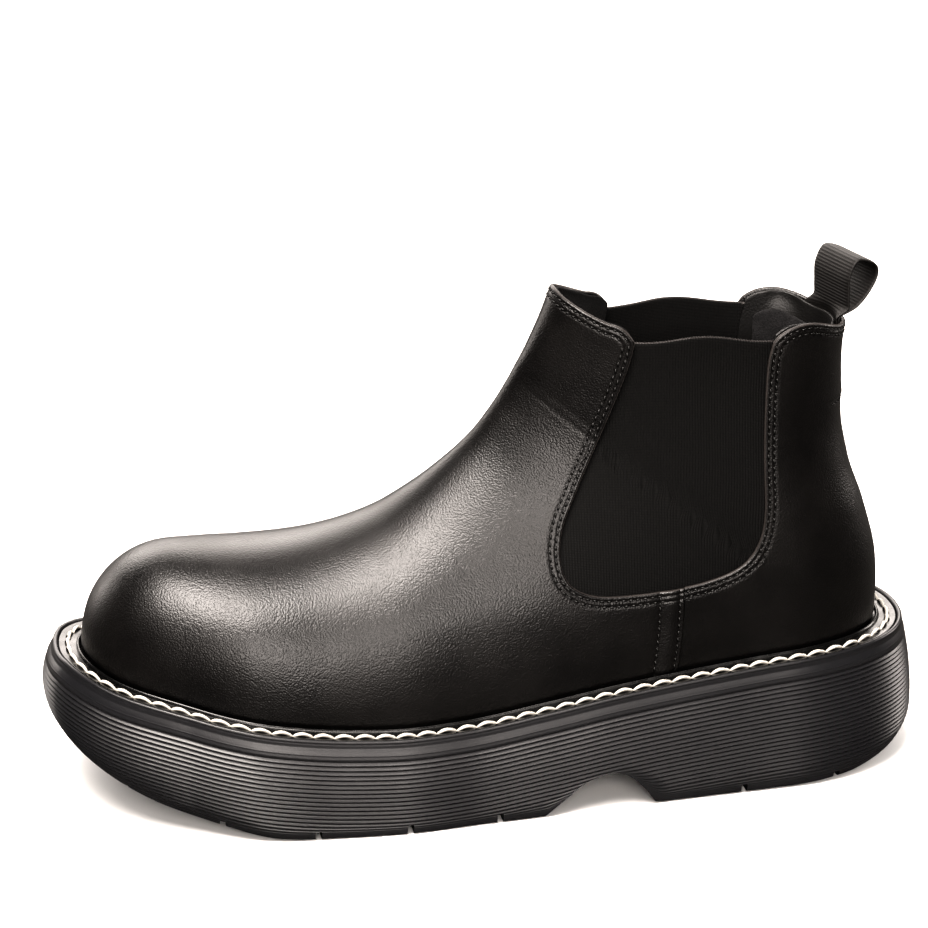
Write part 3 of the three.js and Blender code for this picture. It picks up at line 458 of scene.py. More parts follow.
def soleWall():
    share, side = around(sole["stations"])
    edge = lerp(toeTip, heelTip, share)
    full = weltTop(edge) - soleBottom(edge)
    lift = np.maximum(np.interp(edge, archLine[:, 0], archLine[:, 1]), 0)
    reach = full - np.maximum(sole["leastFlat"], lift * sole["followArch"])
    steps = [0.3, 0.7, 1.2, 1.7, 2.2, 3.0, 3.7, 3.95, 4.1, 4.25, 4.5, 5.1]
    steps += [sole["firstRib"] + sole["ribPitch"] * k / sole["ribSamples"]
              for k in range(sole["ribCount"] * sole["ribSamples"] + 1)]
    deepest = steps[-1]
    straight = sole["straightShare"] * reach  # below this the ribs crowd together
    room = reach - straight
    limit = 1 - np.exp(-(deepest - straight) / room)
    rings = []
    for step in steps:
        crowded = straight + room * (1 - np.exp(-np.maximum(step - straight, 0) / room)) / limit
        depth = np.where(step <= straight, step, np.minimum(crowded, reach))
        rings.append((step, depth))
    rings += [(None, lerp(reach, full, k)) for k in (0.5, 1.0)]
    wall = []
    for step, depth in rings:
        inset = wallInset(depth / full, edge)
        if step is not None:
            inset = inset + sole["beadGrooveDepth"] * hump(step, sole["beadGroove"], 0.6)
            inset = inset - sole["partingRidge"] * hump(step, sole["partingLine"], 0.12)
            if step >= sole["firstRib"]:
                phase = (step - sole["firstRib"]) / sole["ribPitch"]
                fade = 1 - smooth(depth / reach, 0.8, 0.99)
                inset = inset + sole["ribDepth"] * (0.5 - 0.5 * math.cos(2 * math.pi * phase)) ** 0.8 * fade
        x = lerp(toeTip + inset, heelTip - inset, share)
        wall.append(np.stack([x, halfPlan(x, inset, side), weltTop(edge) - depth], axis=1))
    return wall


clearOfBoot = 100  # further out than any side of the boot


def sidePrism(outline, low=-clearOfBoot, high=clearOfBoot):  # a side view outline, across the boot
    n = len(outline)
    points = [(x, low, z) for x, z in outline] + [(x, high, z) for x, z in outline]
    faces = [tuple(range(n)), tuple(range(2 * n - 1, n - 1, -1))]
    faces += [(k, n + k, n + (k + 1) % n, (k + 1) % n) for k in range(n)]
    return points, faces


def makeOutsole():
    gap, radius = boot["gap"], sole["beadRadius"]
    low = sole["beadRise"] - radius  # middle of the bead, above the welt's top
    deck = lambda edge: weltTop(edge) - boot["weltThickness"] - gap
    rings = [planPoints(-gap, deck, sole["stations"], onEdge=True)]
    for turn in np.linspace(math.pi, 0, 9):
        inset = radius * math.cos(turn) - gap - radius
        rise = low + radius * math.sin(turn)
        level = lambda edge: weltTop(edge) + rise
        rings.append(planPoints(inset, level, sole["stations"], onEdge=True))
    rings[1:] = rings[:0:-1]
    piece = ringPiece("sole_unit", rings + soleWall(), sole["stations"])
    cutter = [sidePrism(archLine.tolist())]
    half, core, below = sole["grooveWidth"] / 2, sole["grooveCore"], 20
    fore = [sole["grooveFirst"] + i * sole["groovePitch"] for i in range(sole["foreGrooves"])]
    for x in [place * scaleX for place in (*fore, *sole["heelGrooves"])]:
        floor = float(soleBottom(x))
        top = floor + sole["grooveDepth"]
        outline = [(x - half, floor - below), (x + half, floor - below), (x + half, top), (x - half, top)]
        cutter += [sidePrism(outline, high=-core), sidePrism(outline, low=core)]
    points, faces = [], []
    for some, polygons in cutter:
        faces += [tuple(i + len(points) for i in polygon) for polygon in polygons]
        points += some
    knife = addObject("knife", points, faces)
    cut = piece.modifiers.new("cut", "BOOLEAN")
    cut.object = knife
    cut.operation = "DIFFERENCE"
    cut.solver = "EXACT"
    bakeModifiers(piece)
    bpy.data.objects.remove(knife)
    piece.data.set_sharp_from_angle(angle=math.radians(72))
    settle(piece, "rubber", "outsole")


def bakeModifiers(piece):
    graph = bpy.context.evaluated_depsgraph_get()
    final = bpy.data.meshes.new_from_object(piece.evaluated_get(graph))
    piece.modifiers.clear()
    piece.data = final


makeOutsole()
print("outsole made")

# Welt and its stitching
welt = {"stations": 200, "dish": 0.25, "slot": 0.3, "beadWidth": 1.5, "beadHeight": 1.2, "cornerRadius": 0.5,
        "stitchPitch": 7.2, "stitchInset": 3.3, "thread": 1.25}


def weltSection():  # inset from the welt's edge and height above its top, once round the section
    r = welt["cornerRadius"]
    beadEnd = boot["weltShow"] - boot["gap"]
    beadStart = beadEnd - welt["beadWidth"]
    section = [(0, -boot["weltThickness"]), (0, -r)]
    section += [(r - r * math.cos(a), -r + r * math.sin(a)) for a in (0.5, 1.05, math.pi / 2)]
    for inset in np.linspace(r + 0.4, beadStart, 12):
        across = (inset - r) / (beadStart - r)
        slot = welt["slot"] * float(hump(inset, welt["stitchInset"], 0.7))
        section.append((inset, -welt["dish"] * math.sin(math.pi * across) - slot))
    for across in np.linspace(0.08, 1, 9):
        rise = welt["beadHeight"] * math.sin(math.pi * across) ** 0.6
        section.append((lerp(beadStart, beadEnd, across), rise))
    under = boot["weltShow"] + boot["weltUnder"]
    return section + [(beadEnd + 0.2, -0.05), (under, -0.05), (under, -boot["weltThickness"])]


def makeWelt():
    rings = [planPoints(inset, lambda x, rise=rise: weltTop(x) + rise, welt["stations"])
             for inset, rise in weltSection()]
    piece = ringPiece("welt_strip", rings, welt["stations"], closedAcross=True)
    piece.data.set_sharp_from_angle(angle=math.radians(60))
    settle(piece, "welt", "welt")


def lengthAlong(points):
    return np.concatenate([[0], np.cumsum(np.linalg.norm(np.diff(points, axis=0), axis=1))])


def stitchRow(points, normals, pitch, thread, cover, rise, sink, sides, rings, slant, plies=0):
    length = lengthAlong(points)
    count = max(1, round(length[-1] / pitch))
    step = length[-1] / count
    turns = 2 * math.pi * np.arange(sides) / sides
    vertices, faces = [], []
    for k in range(count):
        start = (k + 0.5 * (1 - cover)) * step
        u = np.linspace(0, 1, rings)
        at = start + u * cover * step
        middle = np.stack([np.interp(at, length, points[:, a]) for a in range(3)], axis=1)
        up = np.stack([np.interp(at, length, normals[:, a]) for a in range(3)], axis=1)
        up /= np.linalg.norm(up, axis=1)[:, None]
        along = np.gradient(middle, axis=0)
        along /= np.linalg.norm(along, axis=1)[:, None]
        aside = np.cross(up, along)
        bow = np.sin(math.pi * u) ** 0.7
        middle = middle + up * (rise * bow - sink * (1 - bow))[:, None]
        middle = middle + aside * (slant * (u - 0.5))[:, None]
        size = thread / 2 * (0.45 + 0.55 * np.sin(math.pi * np.clip(u, 0.02, 0.98)) ** 0.45)
        for r in range(rings):
            swell = 1 + (0.14 * np.cos(plies * turns + 2.4 * math.pi * u[r]) if plies else 0)
            ring = (middle[r] + np.outer(np.cos(turns) * size[r] * swell, aside[r])
                    + np.outer(np.sin(turns) * size[r] * swell, up[r]))
            vertices.append(ring)
        base = k * rings * sides
        for r in range(rings - 1):
            for s in range(sides):
                a, b = base + r * sides + s, base + r * sides + (s + 1) % sides
                faces.append((a, b, b + sides, a + sides))
        faces.append(tuple(base + s for s in range(sides)))
        faces.append(tuple(base + (rings - 1) * sides + s for s in range(sides)))
    return np.concatenate(vertices), faces


def stitchPiece(name, rows, material, slot, node):
    points, faces = [], []
    count = 0
    for vertices, polygons in rows:
        faces += [tuple(i + count for i in polygon) for polygon in polygons]
        points.append(vertices)
        count += len(vertices)
    piece = addObject(name, np.concatenate(points), faces)
    settle(piece, material, node)


def makeWeltStitching():
    line = planPoints(welt["stitchInset"], lambda x: weltTop(x) - welt["dish"], 150)
    line = np.concatenate([line, line[:1]])
    upright = np.tile([0, 0, 1.0], (len(line), 1))
    row = stitchRow(line, upright, welt["stitchPitch"], welt["thread"], cover=1.02, rise=0.75, sink=0.45,
                    sides=12, rings=13, slant=0.25, plies=3)
    stitchPiece("welt_thread", [row], "whiteThread", "white_thread", "welt_stitching")


makeWelt()
makeWeltStitching()
print("welt made")

# Surface of the upper, drawn as slanted sections from the front line to the lower line
def feather(x):
    return weltTop(x) + boot["gap"]


cutAllowance = 8  # the sections run on below the sole line, and the pieces are cut there
heelSnap = 4  # a section that ends this close to the back line ends on it
upperToe = toeTip + boot["weltShow"]
toeTopRound, ridge, toeEnd = 34.5 * scaleX, 88.8 * scaleZ, -100 * scaleX
slanted = [  # front x and z, back x and z (None: on the sole line), reach, power
    (-100, 88.8, -100, None, 1, 2.2), (-78, 89, -76, None, 1, 2.15), (-60, 91.4, -52, None, 1, 2.1),
    (-42, 97.2, -26, None, 1, 2.05), (-28, 105.4, 4, None, 1, 2), (-16, 114.5, 38, None, 0.98, 1.95),
    (-6, 124, 76, None, 0.9, 1.9), (2, 134.5, 112, None, 0.78, 1.9), (7, 142.5, 134, None, 0.68, 1.9),
    (10, 148, 142.3, 50, 0.6, 1.95), (13, 153.5, 141.3, 72, 0.55, 2), (16, 160, 136.5, 92, 0.5, 2),
    (19, 167, 130, 110, 0.47, 2), (21.5, 173.5, 126.8, 128, 0.45, 2), (23.5, 179, 126.5, 146, 0.45, 2),
    (26, 187, 128.5, 166, 0.45, 2),
]
backLine = table([(40, 142), (60, 142), (72, 141.3), (92, 136.5), (110, 130), (128, 126.8), (146, 126.5),
                  (168, 128.5)], scaleZ, scaleX)
heelUpperRound, legHalf, legFrom, legTo = 42 * scaleX, 26 * scaleY, 66 * scaleZ, 160 * scaleZ
lastSection = len(slanted)  # sections run from 0 at the toe tip to here
slantedValues = [
    [s[0] * scaleX for s in slanted], [s[1] * scaleZ for s in slanted], [s[2] * scaleX for s in slanted],
    [float(feather(s[2] * scaleX)) - cutAllowance if s[3] is None else s[3] * scaleZ for s in slanted],
    [s[4] for s in slanted], [s[5] for s in slanted],
]


def sectionAt(w):
    leg = [catmull(values, np.maximum(w - 1, 0)) for values in slantedValues]
    x = upperToe + (toeEnd - upperToe) * (1 - np.cos(math.pi / 2 * np.clip(w, 0, 1)))
    floor = feather(x)
    top = floor + (ridge - floor) * rounded((x - upperToe) / toeTopRound, roundPower)
    toe = [x, top, x, floor - cutAllowance, np.ones_like(x), np.full_like(x, roundPower)]
    return [np.where(w < 1, a, b) for a, b in zip(toe, leg)]


def halfWidth(x, z, side):
    foot = np.where(side < 0, outerHalf(x), innerHalf(x)) - boot["weltShow"]
    half = lerp(foot, legHalf, smooth(z, legFrom, legTo))
    toe = rounded((x - upperToe) / (toeRound - boot["weltShow"]), roundPower)
    heel = rounded((backLine(z) - x) / heelUpperRound, roundPower)
    return half * toe * heel


def skinAt(w, v):  # v: -1 at the outer side's lower line, 0 on the front line, 1 at the inner lower line
    w, v = np.broadcast_arrays(np.asarray(w, float), np.asarray(v, float))
    v = (v + 1) % 2 - 1
    side = np.where(v < 0, -1.0, 1.0)
    t = (1 - np.cos(math.pi * np.abs(v))) / 2
    frontX, frontZ, backX, backZ, reach, power = sectionAt(w)
    heelX = backLine(backZ)
    backX = np.where(np.abs(backX - heelX) < heelSnap, heelX, backX)
    x, z = lerp(frontX, backX, t), lerp(frontZ, backZ, t)
    floor = feather(backX)
    toFloor = np.where(frontZ > floor + 0.01, (frontZ - np.maximum(floor, backZ)) / (frontZ - backZ), 0.01)
    arched = rounded(t / np.maximum(toFloor * reach, 0.01), power)
    return np.stack([x, toeShift(x) + side * halfWidth(x, z, side) * arched, z], axis=-1)


def skinNormals(w, v):
    w, v = np.broadcast_arrays(np.asarray(w, float), np.asarray(v, float))
    stepW, stepV = 0.02, 0.008
    low, high = np.maximum(w - stepW, 0.001), np.minimum(w + stepW, lastSection)
    alongW = skinAt(high, v) - skinAt(low, v)
    alongV = skinAt(w, v + stepV) - skinAt(w, v - stepV)
    normal = np.cross(alongW, alongV)
    return normal / np.maximum(np.linalg.norm(normal, axis=-1), 1e-9)[..., None]


if skinNormals(8.0, -0.6)[1] > 0:  # outward on the outer side is -Y
    raise SystemExit("the upper's normals point inwards")


def findSection(x, z):  # the section that passes through a side view point, and the place along it
    x, z = np.asarray(x, float), np.asarray(z, float)
    low, high = np.full(x.shape, 0.002), np.full(x.shape, float(lastSection))
    for _ in range(32):
        middle = (low + high) / 2
        frontX, frontZ, backX, backZ = sectionAt(middle)[:4]
        beyond = (backX - frontX) * (z - frontZ) - (backZ - frontZ) * (x - frontX) > 0
        low, high = np.where(beyond, middle, low), np.where(beyond, high, middle)
    frontX, frontZ, backX, backZ = sectionAt(low)[:4]
    along = ((x - frontX) * (backX - frontX) + (z - frontZ) * (backZ - frontZ)) / (
        (backX - frontX) ** 2 + (backZ - frontZ) ** 2)
    return low, np.arccos(1 - 2 * np.clip(along, 0, 1)) / math.pi


def onSkin(x, z, side):  # surface point and normal at side view points
    w, v = findSection(x, z)
    v = v * side
    return skinAt(w, v), skinNormals(w, v)


# Cut lines in side view
def scaled(points):
    return [(x * scaleX, z * scaleZ) for x, z in points]


gorePath = spline(scaled([(47.2, 161), (44.4, 150), (36, 128), (27, 109), (21.5, 97), (20, 87), (22.5, 79),
                          (30, 74.5), (41, 73.3), (58, 74), (74, 76.5), (85, 81), (91, 89), (93, 100),
                          (92.8, 118), (93.3, 138), (94.2, 152), (96.1, 159.6)]), 110)
collarFront = spline(scaled([(14, 178.5), (20, 178), (24.5, 174.5), (31, 170.8), (37.7, 167.7), (41.2, 166.8),
                             (44.4, 164.8), (47.2, 161)]), 42)
collarRear = spline(scaled([(96.1, 159.6), (98.2, 161.5), (101.7, 163.3), (105.6, 164.2), (110.5, 164.3),
                            (116, 163), (121, 161.2), (126, 160), (140, 160)]), 42)
far = 400.0
seamTop, seamLean, seamBend = 72.0, 2.4, 30


def seamAt(z):  # the side seam leans to the toe near the sole
    return boot["seamX"] * scaleX - seamLean * np.clip((seamTop - z) / seamBend, 0, 1) ** 2


def lineField(line):  # signed distance to a side view line, positive below it
    line = np.asarray(line, float)
    ring = np.concatenate([line, [[line[-1, 0], 2 * far], [line[0, 0], 2 * far]]])

    def at(x, z):
        shape = np.shape(x)
        x, z = np.ravel(x), np.ravel(z)
        best = np.full(x.shape, 1e9)
        for a, b in zip(line[:-1], line[1:]):
            d = b - a
            t = np.clip(((x - a[0]) * d[0] + (z - a[1]) * d[1]) / max(d @ d, 1e-9), 0, 1)
            best = np.minimum(best, (x - a[0] - t * d[0]) ** 2 + (z - a[1] - t * d[1]) ** 2)
        inside = np.zeros(x.shape, bool)
        for a, b in zip(ring, np.roll(ring, -1, axis=0)):
            if a[1] != b[1]:
                crosses = (a[1] > z) != (b[1] > z)
                inside ^= crosses & (x < a[0] + (z - a[1]) * (b[0] - a[0]) / (b[1] - a[1]))
        return (np.sqrt(best) * np.where(inside, -1, 1)).reshape(shape)
    return at


frontRun = [[-far, collarFront[0, 1]]]
rearRun = [[far, collarRear[-1, 1]]]
runOn = 20  # the collar lines run straight on over the elastic by this many steps
frontSlope = (collarFront[-1] - collarFront[-3]) * runOn + collarFront[-1]
rearSlope = (collarRear[0] - collarRear[2]) * runOn + collarRear[0]
rimField = lineField(np.concatenate([frontRun, collarFront, gorePath[1:], collarRear[1:], rearRun]))
frontField = lineField(np.concatenate([frontRun, collarFront, [frontSlope]]))
rearField = lineField(np.concatenate([[rearSlope], collarRear, rearRun]))
goreField = lineField(np.concatenate([[[gorePath[0, 0], far]], gorePath, [[gorePath[-1, 0], far]]]))
tack = {"drop": 26.5, "lift": 0.5, "reach": 10, "rowBelow": 1.4}
tackHeight = collarRear[-1, 1] - tack["drop"]
fields = {
    "rim": rimField,
    "gore": goreField,
    "front": frontField,
    "rear": rearField,
    "height": lambda x, z: z - feather(x),
    "ahead": lambda x, z: seamAt(z) - x,
    "behind": lambda x, z: x - seamAt(z),
    "tack": lambda x, z: z - tackHeight,
}


# Cutting pieces from the surface
def newSheet(rows=150, columns=84):
    toe = 0.002 + 0.998 * np.linspace(0, 1, 26)[:-1] ** 1.3
    w = np.concatenate([toe, np.linspace(1, lastSection, rows)])
    v = np.linspace(-1, 1, 2 * columns + 1)
    gridW, gridV = np.meshgrid(w, v, indexing="ij")
    points, normals = skinAt(gridW, gridV), skinNormals(gridW, gridV)
    index = np.arange(gridW.size).reshape(gridW.shape)
    index = np.concatenate([index, index[:, :1]], axis=1)  # the sides meet up the back of the leg
    a, b, c, d = index[:-1, :-1], index[:-1, 1:], index[1:, 1:], index[1:, :-1]
    faces = np.stack([a, b, c, d], axis=-1).reshape(-1, 4).tolist()
    rows = np.concatenate([points.reshape(-1, 3), normals.reshape(-1, 3)], axis=1)
    return {"rows": rows, "faces": faces, "fields": {}}


def fieldOf(sheet, name):
    if name not in sheet["fields"]:
        sheet["fields"][name] = fields[name](sheet["rows"][:, 0], sheet["rows"][:, 2])
    return sheet["fields"][name]


def faceMeans(sheet, values):
    counts = np.array([len(f) for f in sheet["faces"]])
    flat = np.fromiter(chain.from_iterable(sheet["faces"]), int)
    starts = np.concatenate([[0], np.cumsum(counts)[:-1]])
    return np.add.reduceat(values[flat], starts) / counts


def score(sheet, name, level):  # splits faces along a level of a field
    values = fieldOf(sheet, name) - level
    values = np.where(np.abs(values) < 1e-4, 1e-4, values)
    over = (values > 0).astype(float)
    crossing = faceMeans(sheet, over)
    made, pairs, extra = {}, [], []
    count = len(values)
    for i in np.nonzero((crossing > 0) & (crossing < 1))[0]:
        face = sheet["faces"][i]
        above, below = [], []
        for k, a in enumerate(face):
            b = face[(k + 1) % len(face)]
            (above if values[a] > 0 else below).append(a)
            if (values[a] > 0) != (values[b] > 0):
                key = (min(a, b), max(a, b))
                if key not in made:
                    made[key] = count + len(pairs)
                    pairs.append(key)
                above.append(made[key])
                below.append(made[key])
        sheet["faces"][i] = above
        extra.append(below)
    if not pairs:
        return
    sheet["faces"] += extra
    first, second = np.array(pairs).T
    share = values[first] / (values[first] - values[second])
    rows = sheet["rows"]
    trial = lerp(rows[first], rows[second], share[:, None])
    found = fields[name](trial[:, 0], trial[:, 2]) - level
    sameSide = found * values[first] > 0
    beyond = share + (1 - share) * found / (found - values[second])
    before = share * values[first] / np.where(sameSide, 1, values[first] - found)
    near = np.where(sameSide, beyond, before)
    share = np.clip(near, 0.001, 0.999)
    fresh = lerp(rows[first], rows[second], share[:, None])
    sheet["rows"] = np.concatenate([rows, fresh])
    for key, old in sheet["fields"].items():
        sheet["fields"][key] = np.concatenate([old, fields[key](fresh[:, 0], fresh[:, 2])])


def keepAbove(sheet, name, level):
    score(sheet, name, level)
    means = faceMeans(sheet, fieldOf(sheet, name))
    sheet["faces"] = [f for f, m in zip(sheet["faces"], means) if m > level]
    used = np.unique(np.fromiter(chain.from_iterable(sheet["faces"]), int))
    number = np.full(len(sheet["rows"]), -1)
    number[used] = np.arange(len(used))
    sheet["faces"] = [[int(number[i]) for i in f] for f in sheet["faces"]]
    sheet["rows"] = sheet["rows"][used]
    sheet["fields"] = {key: values[used] for key, values in sheet["fields"].items()}


def shellPiece(name, sheet, outerDepth, innerDepth):
    points, normals = sheet["rows"][:, :3], sheet["rows"][:, 3:]
    normals = normals / np.linalg.norm(normals, axis=1)[:, None]
    n = len(points)
    outer = points - normals * outerDepth[:, None]
    inner = points - normals * innerDepth[:, None]
    edges = set()
    for face in sheet["faces"]:
        for k, a in enumerate(face):
            edges.add((a, face[(k + 1) % len(face)]))
    faces = [tuple(f) for f in sheet["faces"]] + [tuple(i + n for i in reversed(f)) for f in sheet["faces"]]
    faces += [(b, a, a + n, b + n) for a, b in edges if (b, a) not in edges]
    piece = addObject(name, np.concatenate([outer, inner]), faces)
    piece.data.set_sharp_from_angle(angle=math.radians(58))
    return piece


def rolled(distance, radius):  # how far a rolled edge falls away from the face
    near = np.clip(radius - distance, 0, radius)
    return radius - np.sqrt(radius**2 - near**2)


baseSheet = newSheet()


def copySheet():
    return {"rows": baseSheet["rows"].copy(), "faces": [list(f) for f in baseSheet["faces"]],
            "fields": {key: values.copy() for key, values in baseSheet["fields"].items()}}


def cutSheet(cuts, scores):  # keeps what lies above each cut, then splits the faces along the scores
    sheet = copySheet()
    for name, level in cuts:
        keepAbove(sheet, name, level)
    for name, levels in scores.items():
        for level in levels:
            score(sheet, name, level)
    return sheet


for fieldName in fields:
    fieldOf(baseSheet, fieldName)
print("surface of the upper drawn")

# Leather of the upper
upper = {"rollRadius": 0.85, "rowDip": 0.32, "rowWidth": 0.5, "edgeSwell": 0.12, "overlap": 0.8,
         "overlapWidth": 10, "tuck": 1.0, "tuckHeight": 2.4, "seamRows": (1.6, 8.6), "puff": 0.45,
         "edgeHighlightWidth": 0.3}
rimTrim, pieceGap = 0.002, 0.15
edgeLevels = (0.1, 0.32, 0.65, 1.1, 1.6, 2.1, 2.8, 3.5, 4.0, 4.5, 5.3)  # extra rows where a shape needs them
seamLevels = (0.12, 0.4, 0.8, 1.2, 1.6, 2.0, 3, 4, 5, 6, 7, 8.2, 8.6, 9.0)
footLevels = (0.4, 1.0, 2.4)
tackLevels = (-2.2, -1.4, -0.8, -0.3, -0.02, 0.15, 0.6, 1.5, 3)
edgeRows = (boot["stitchInset"], boot["stitchInset"] + boot["rowSpacing"])


def dips(distance, rows):
    return sum(upper["rowDip"] * hump(distance, row, upper["rowWidth"]) for row in rows)


def undulation(points):  # the slow waves of lasted leather
    x, y, z = points.T
    broad = np.sin(x / 17 + 1.3 * np.sin(z / 21)) * np.sin(z / 13 + y / 19)
    return 0.11 * (broad + 0.6 * np.sin(x / 9.5 - z / 11 + 2))


def leatherFaces(sheet):
    rim, height = fieldOf(sheet, "rim"), fieldOf(sheet, "height")
    outer = rolled(rim, upper["rollRadius"]) + dips(rim, edgeRows)
    outer -= upper["edgeSwell"] * (hump(rim, 0.9, 0.4) + hump(rim, 2.8, 0.6))
    outer += upper["tuck"] * np.clip(1 - height / upper["tuckHeight"], 0, 1) ** 2
    outer += undulation(sheet["rows"][:, :3]) * smooth(rim, 4, 14) * smooth(height, 2, 10)
    inner = np.maximum(boot["leather"] - rolled(rim, upper["rollRadius"]), outer)
    return outer, inner


def leatherPiece(name, sheet, outer, inner, node):
    piece = shellPiece(name, sheet, outer, inner)
    settle(piece, "upper", node)
    # painted highlight: faces within this width of the cut edges get the lighter edge colour
    paintFaces(piece, finishes["edge"], lambda x, z: np.abs(rimField(x, z)) < upper["edgeHighlightWidth"])


def makeVamp():
    sheet = cutSheet([("height", 0), ("ahead", 0), ("rim", rimTrim)],
                     {"rim": edgeLevels, "ahead": seamLevels, "height": footLevels})
    outer, inner = leatherFaces(sheet)
    ahead = fieldOf(sheet, "ahead")
    lift = upper["overlap"] * (1 - smooth(ahead, 0, upper["overlapWidth"]))
    outer += dips(ahead, upper["seamRows"]) + rolled(ahead, 0.6) - lift - upper["puff"] * hump(ahead, 5, 2.2)
    leatherPiece("vamp_leather", sheet, outer, np.maximum(inner - lift, outer), "vamp")


def tackLift(sheet):
    above, x = fieldOf(sheet, "tack"), sheet["rows"][:, 0]
    start = backLine(tackHeight) - tack["reach"]
    lift = np.where(above > 0, tack["lift"] * np.exp(-above / 5), 0)
    lift = lift - 0.25 * hump(above, -tack["rowBelow"], 0.5) - 0.2 * hump(above, -0.2, 0.3)
    return smooth(x, start, start + 9) * lift


def makeQuarter():
    sheet = cutSheet([("height", 0), ("behind", pieceGap), ("rim", rimTrim)],
                     {"rim": edgeLevels, "height": footLevels, "tack": tackLevels})
    outer, inner = leatherFaces(sheet)
    outer -= tackLift(sheet)
    inner = np.maximum(inner, outer + 0.3 * (inner > outer))
    leatherPiece("quarter_leather", sheet, outer, inner, "back_quarter")


makeVamp()
makeQuarter()
print("leather made")

# Linings, facing and heel patch
middleFrom = boot["leather"] + boot["gap"]
liningFrom = middleFrom + boot["middle"] + boot["gap"]
insideFrom = liningFrom + boot["lining"] + boot["gap"]
inner = {"liningCut": 2, "frontDrop": 0.5, "facingDepth": 16, "patchTop": 7, "patchDepth": 67,
         "patchReach": 41, "patchThickness": 1, "closeBand": 9, "clearOfGore": (8, 15), "tabClear": (13, 18),
         "tabFrom": 110, "closedGap": 0.12}
liningLevels = (0.62, 0.8, 1.1, 2, 4)
tab = {"width": 23, "thickness": 1.25, "sewnThickness": 0.8, "height": 22, "gap": 9, "tail": 24, "twist": 16,
       "side": 3, "rise": 1.6, "ribPitch": 1.15, "ribDepth": 0.24}


def towardLeather(sheet, field):  # a lining closes up to the leather at the collar, clear of elastic and tab
    rows = sheet["rows"]
    close = 1 - smooth(fieldOf(sheet, field), 2, inner["closeBand"])
    clear = smooth(fieldOf(sheet, "gore"), *inner["clearOfGore"])
    nearTab = 1 - smooth(np.abs(rows[:, 1] - tab["side"]), *inner["tabClear"])
    behind = rows[:, 0] > inner["tabFrom"]
    room = liningFrom - boot["leather"] - inner["closedGap"]
    return close * clear * np.where(behind, 1 - nearTab, 1) * room


def liningPiece(name, sheet, closing, rim, material, node):
    start = liningFrom - closing
    edge = rolled(rim, boot["lining"] / 2)
    piece = shellPiece(name, sheet, start + edge, start + boot["lining"] - edge)
    settle(piece, material, node)


def makeLinings():
    drop, cut = inner["frontDrop"], ("gore", inner["liningCut"])
    sheet = cutSheet([("height", 0), ("ahead", pieceGap), cut, ("front", drop)], {"front": liningLevels})
    liningPiece("vamp_lining_cloth", sheet, towardLeather(sheet, "front"), fieldOf(sheet, "front") - drop,
                "lining", "vamp_lining")
    facingEnd = inner["facingDepth"] + boot["gap"]
    sheet = cutSheet([("height", 0), ("behind", pieceGap), cut, ("rear", facingEnd)], {})
    liningPiece("quarter_lining_cloth", sheet, 0, fieldOf(sheet, "rear"), "lining",
                "quarter_lining")
    fields["upToFacing"] = lambda x, z: inner["facingDepth"] - rearField(x, z)
    sheet = cutSheet([("behind", pieceGap), cut, ("rear", drop), ("upToFacing", 0)], {"rear": liningLevels})
    liningPiece("collar_facing_strip", sheet, towardLeather(sheet, "rear"), fieldOf(sheet, "rear") - drop,
                "facing", "collar_facing")


def makeHeelPatch():
    top = inner["patchTop"]
    fields["patchBack"] = lambda x, z: x - (backLine(0) - inner["patchReach"] * scaleX)
    fields["patchLow"] = lambda x, z: top + inner["patchDepth"] - rearField(x, z)
    sheet = cutSheet([("rear", top), ("patchLow", 0), ("patchBack", 0)],
                     {"rear": [top + level for level in (0.2, 0.5, 1.0)]})
    rear = fieldOf(sheet, "rear") - top
    edge = rolled(np.minimum(rear, fieldOf(sheet, "patchBack")), 0.45)
    x, z = sheet["rows"][:, 0], sheet["rows"][:, 2]
    pile = 0.18 * np.sin(x * 2.1 + 3 * np.sin(z * 0.9)) * smooth(rear, 1, 4)
    start = insideFrom - towardLeather(sheet, "rear")
    piece = shellPiece("heel_patch_suede", sheet, start + edge, start + inner["patchThickness"] - edge + pile)
    settle(piece, "suede", "heel_patch")


makeLinings()
makeHeelPatch()
print("linings made")

# Elastic side panels
gore = {"topHighlightWidth": 0.5, "hem": 6, "topDrop": 0.4, "topBulge": 2.7, "ribPitch": 1.0, "ribDepth": 0.22,
        "samples": 4, "rows": 34}


def offsetLine(line, margin):
    along = np.gradient(line, axis=0)
    along /= np.linalg.norm(along, axis=1)[:, None]
    return line + np.stack([along[:, 1], -along[:, 0]], axis=1) * margin


def goreEdges():
    edge = offsetLine(gorePath, gore["hem"])
    turn = int(np.argmin(edge[:, 0]))  # foremost point of the panel
    lowest, front = edge[turn:], edge[:turn + 1][::-1]
    order = np.argsort(lowest[:, 0])
    topX, topZ = (gorePath[0, 0], gorePath[-1, 0]), (gorePath[0, 1], gorePath[-1, 1])

    def low(x):
        return np.interp(x, lowest[order, 0], lowest[order, 1])

    def high(x):
        line = np.interp(x, topX, topZ) - gore["topDrop"]
        share = (x - topX[0]) / (topX[1] - topX[0])
        wave = gore["topBulge"] * hump(share, 0.5, 0.26) * (1 + 0.1 * np.sin(9 * share))
        return np.minimum(line + wave, np.interp(x, front[:, 0], front[:, 1]))
    return low, high, edge[turn, 0], gorePath[-1, 0] + gore["hem"]


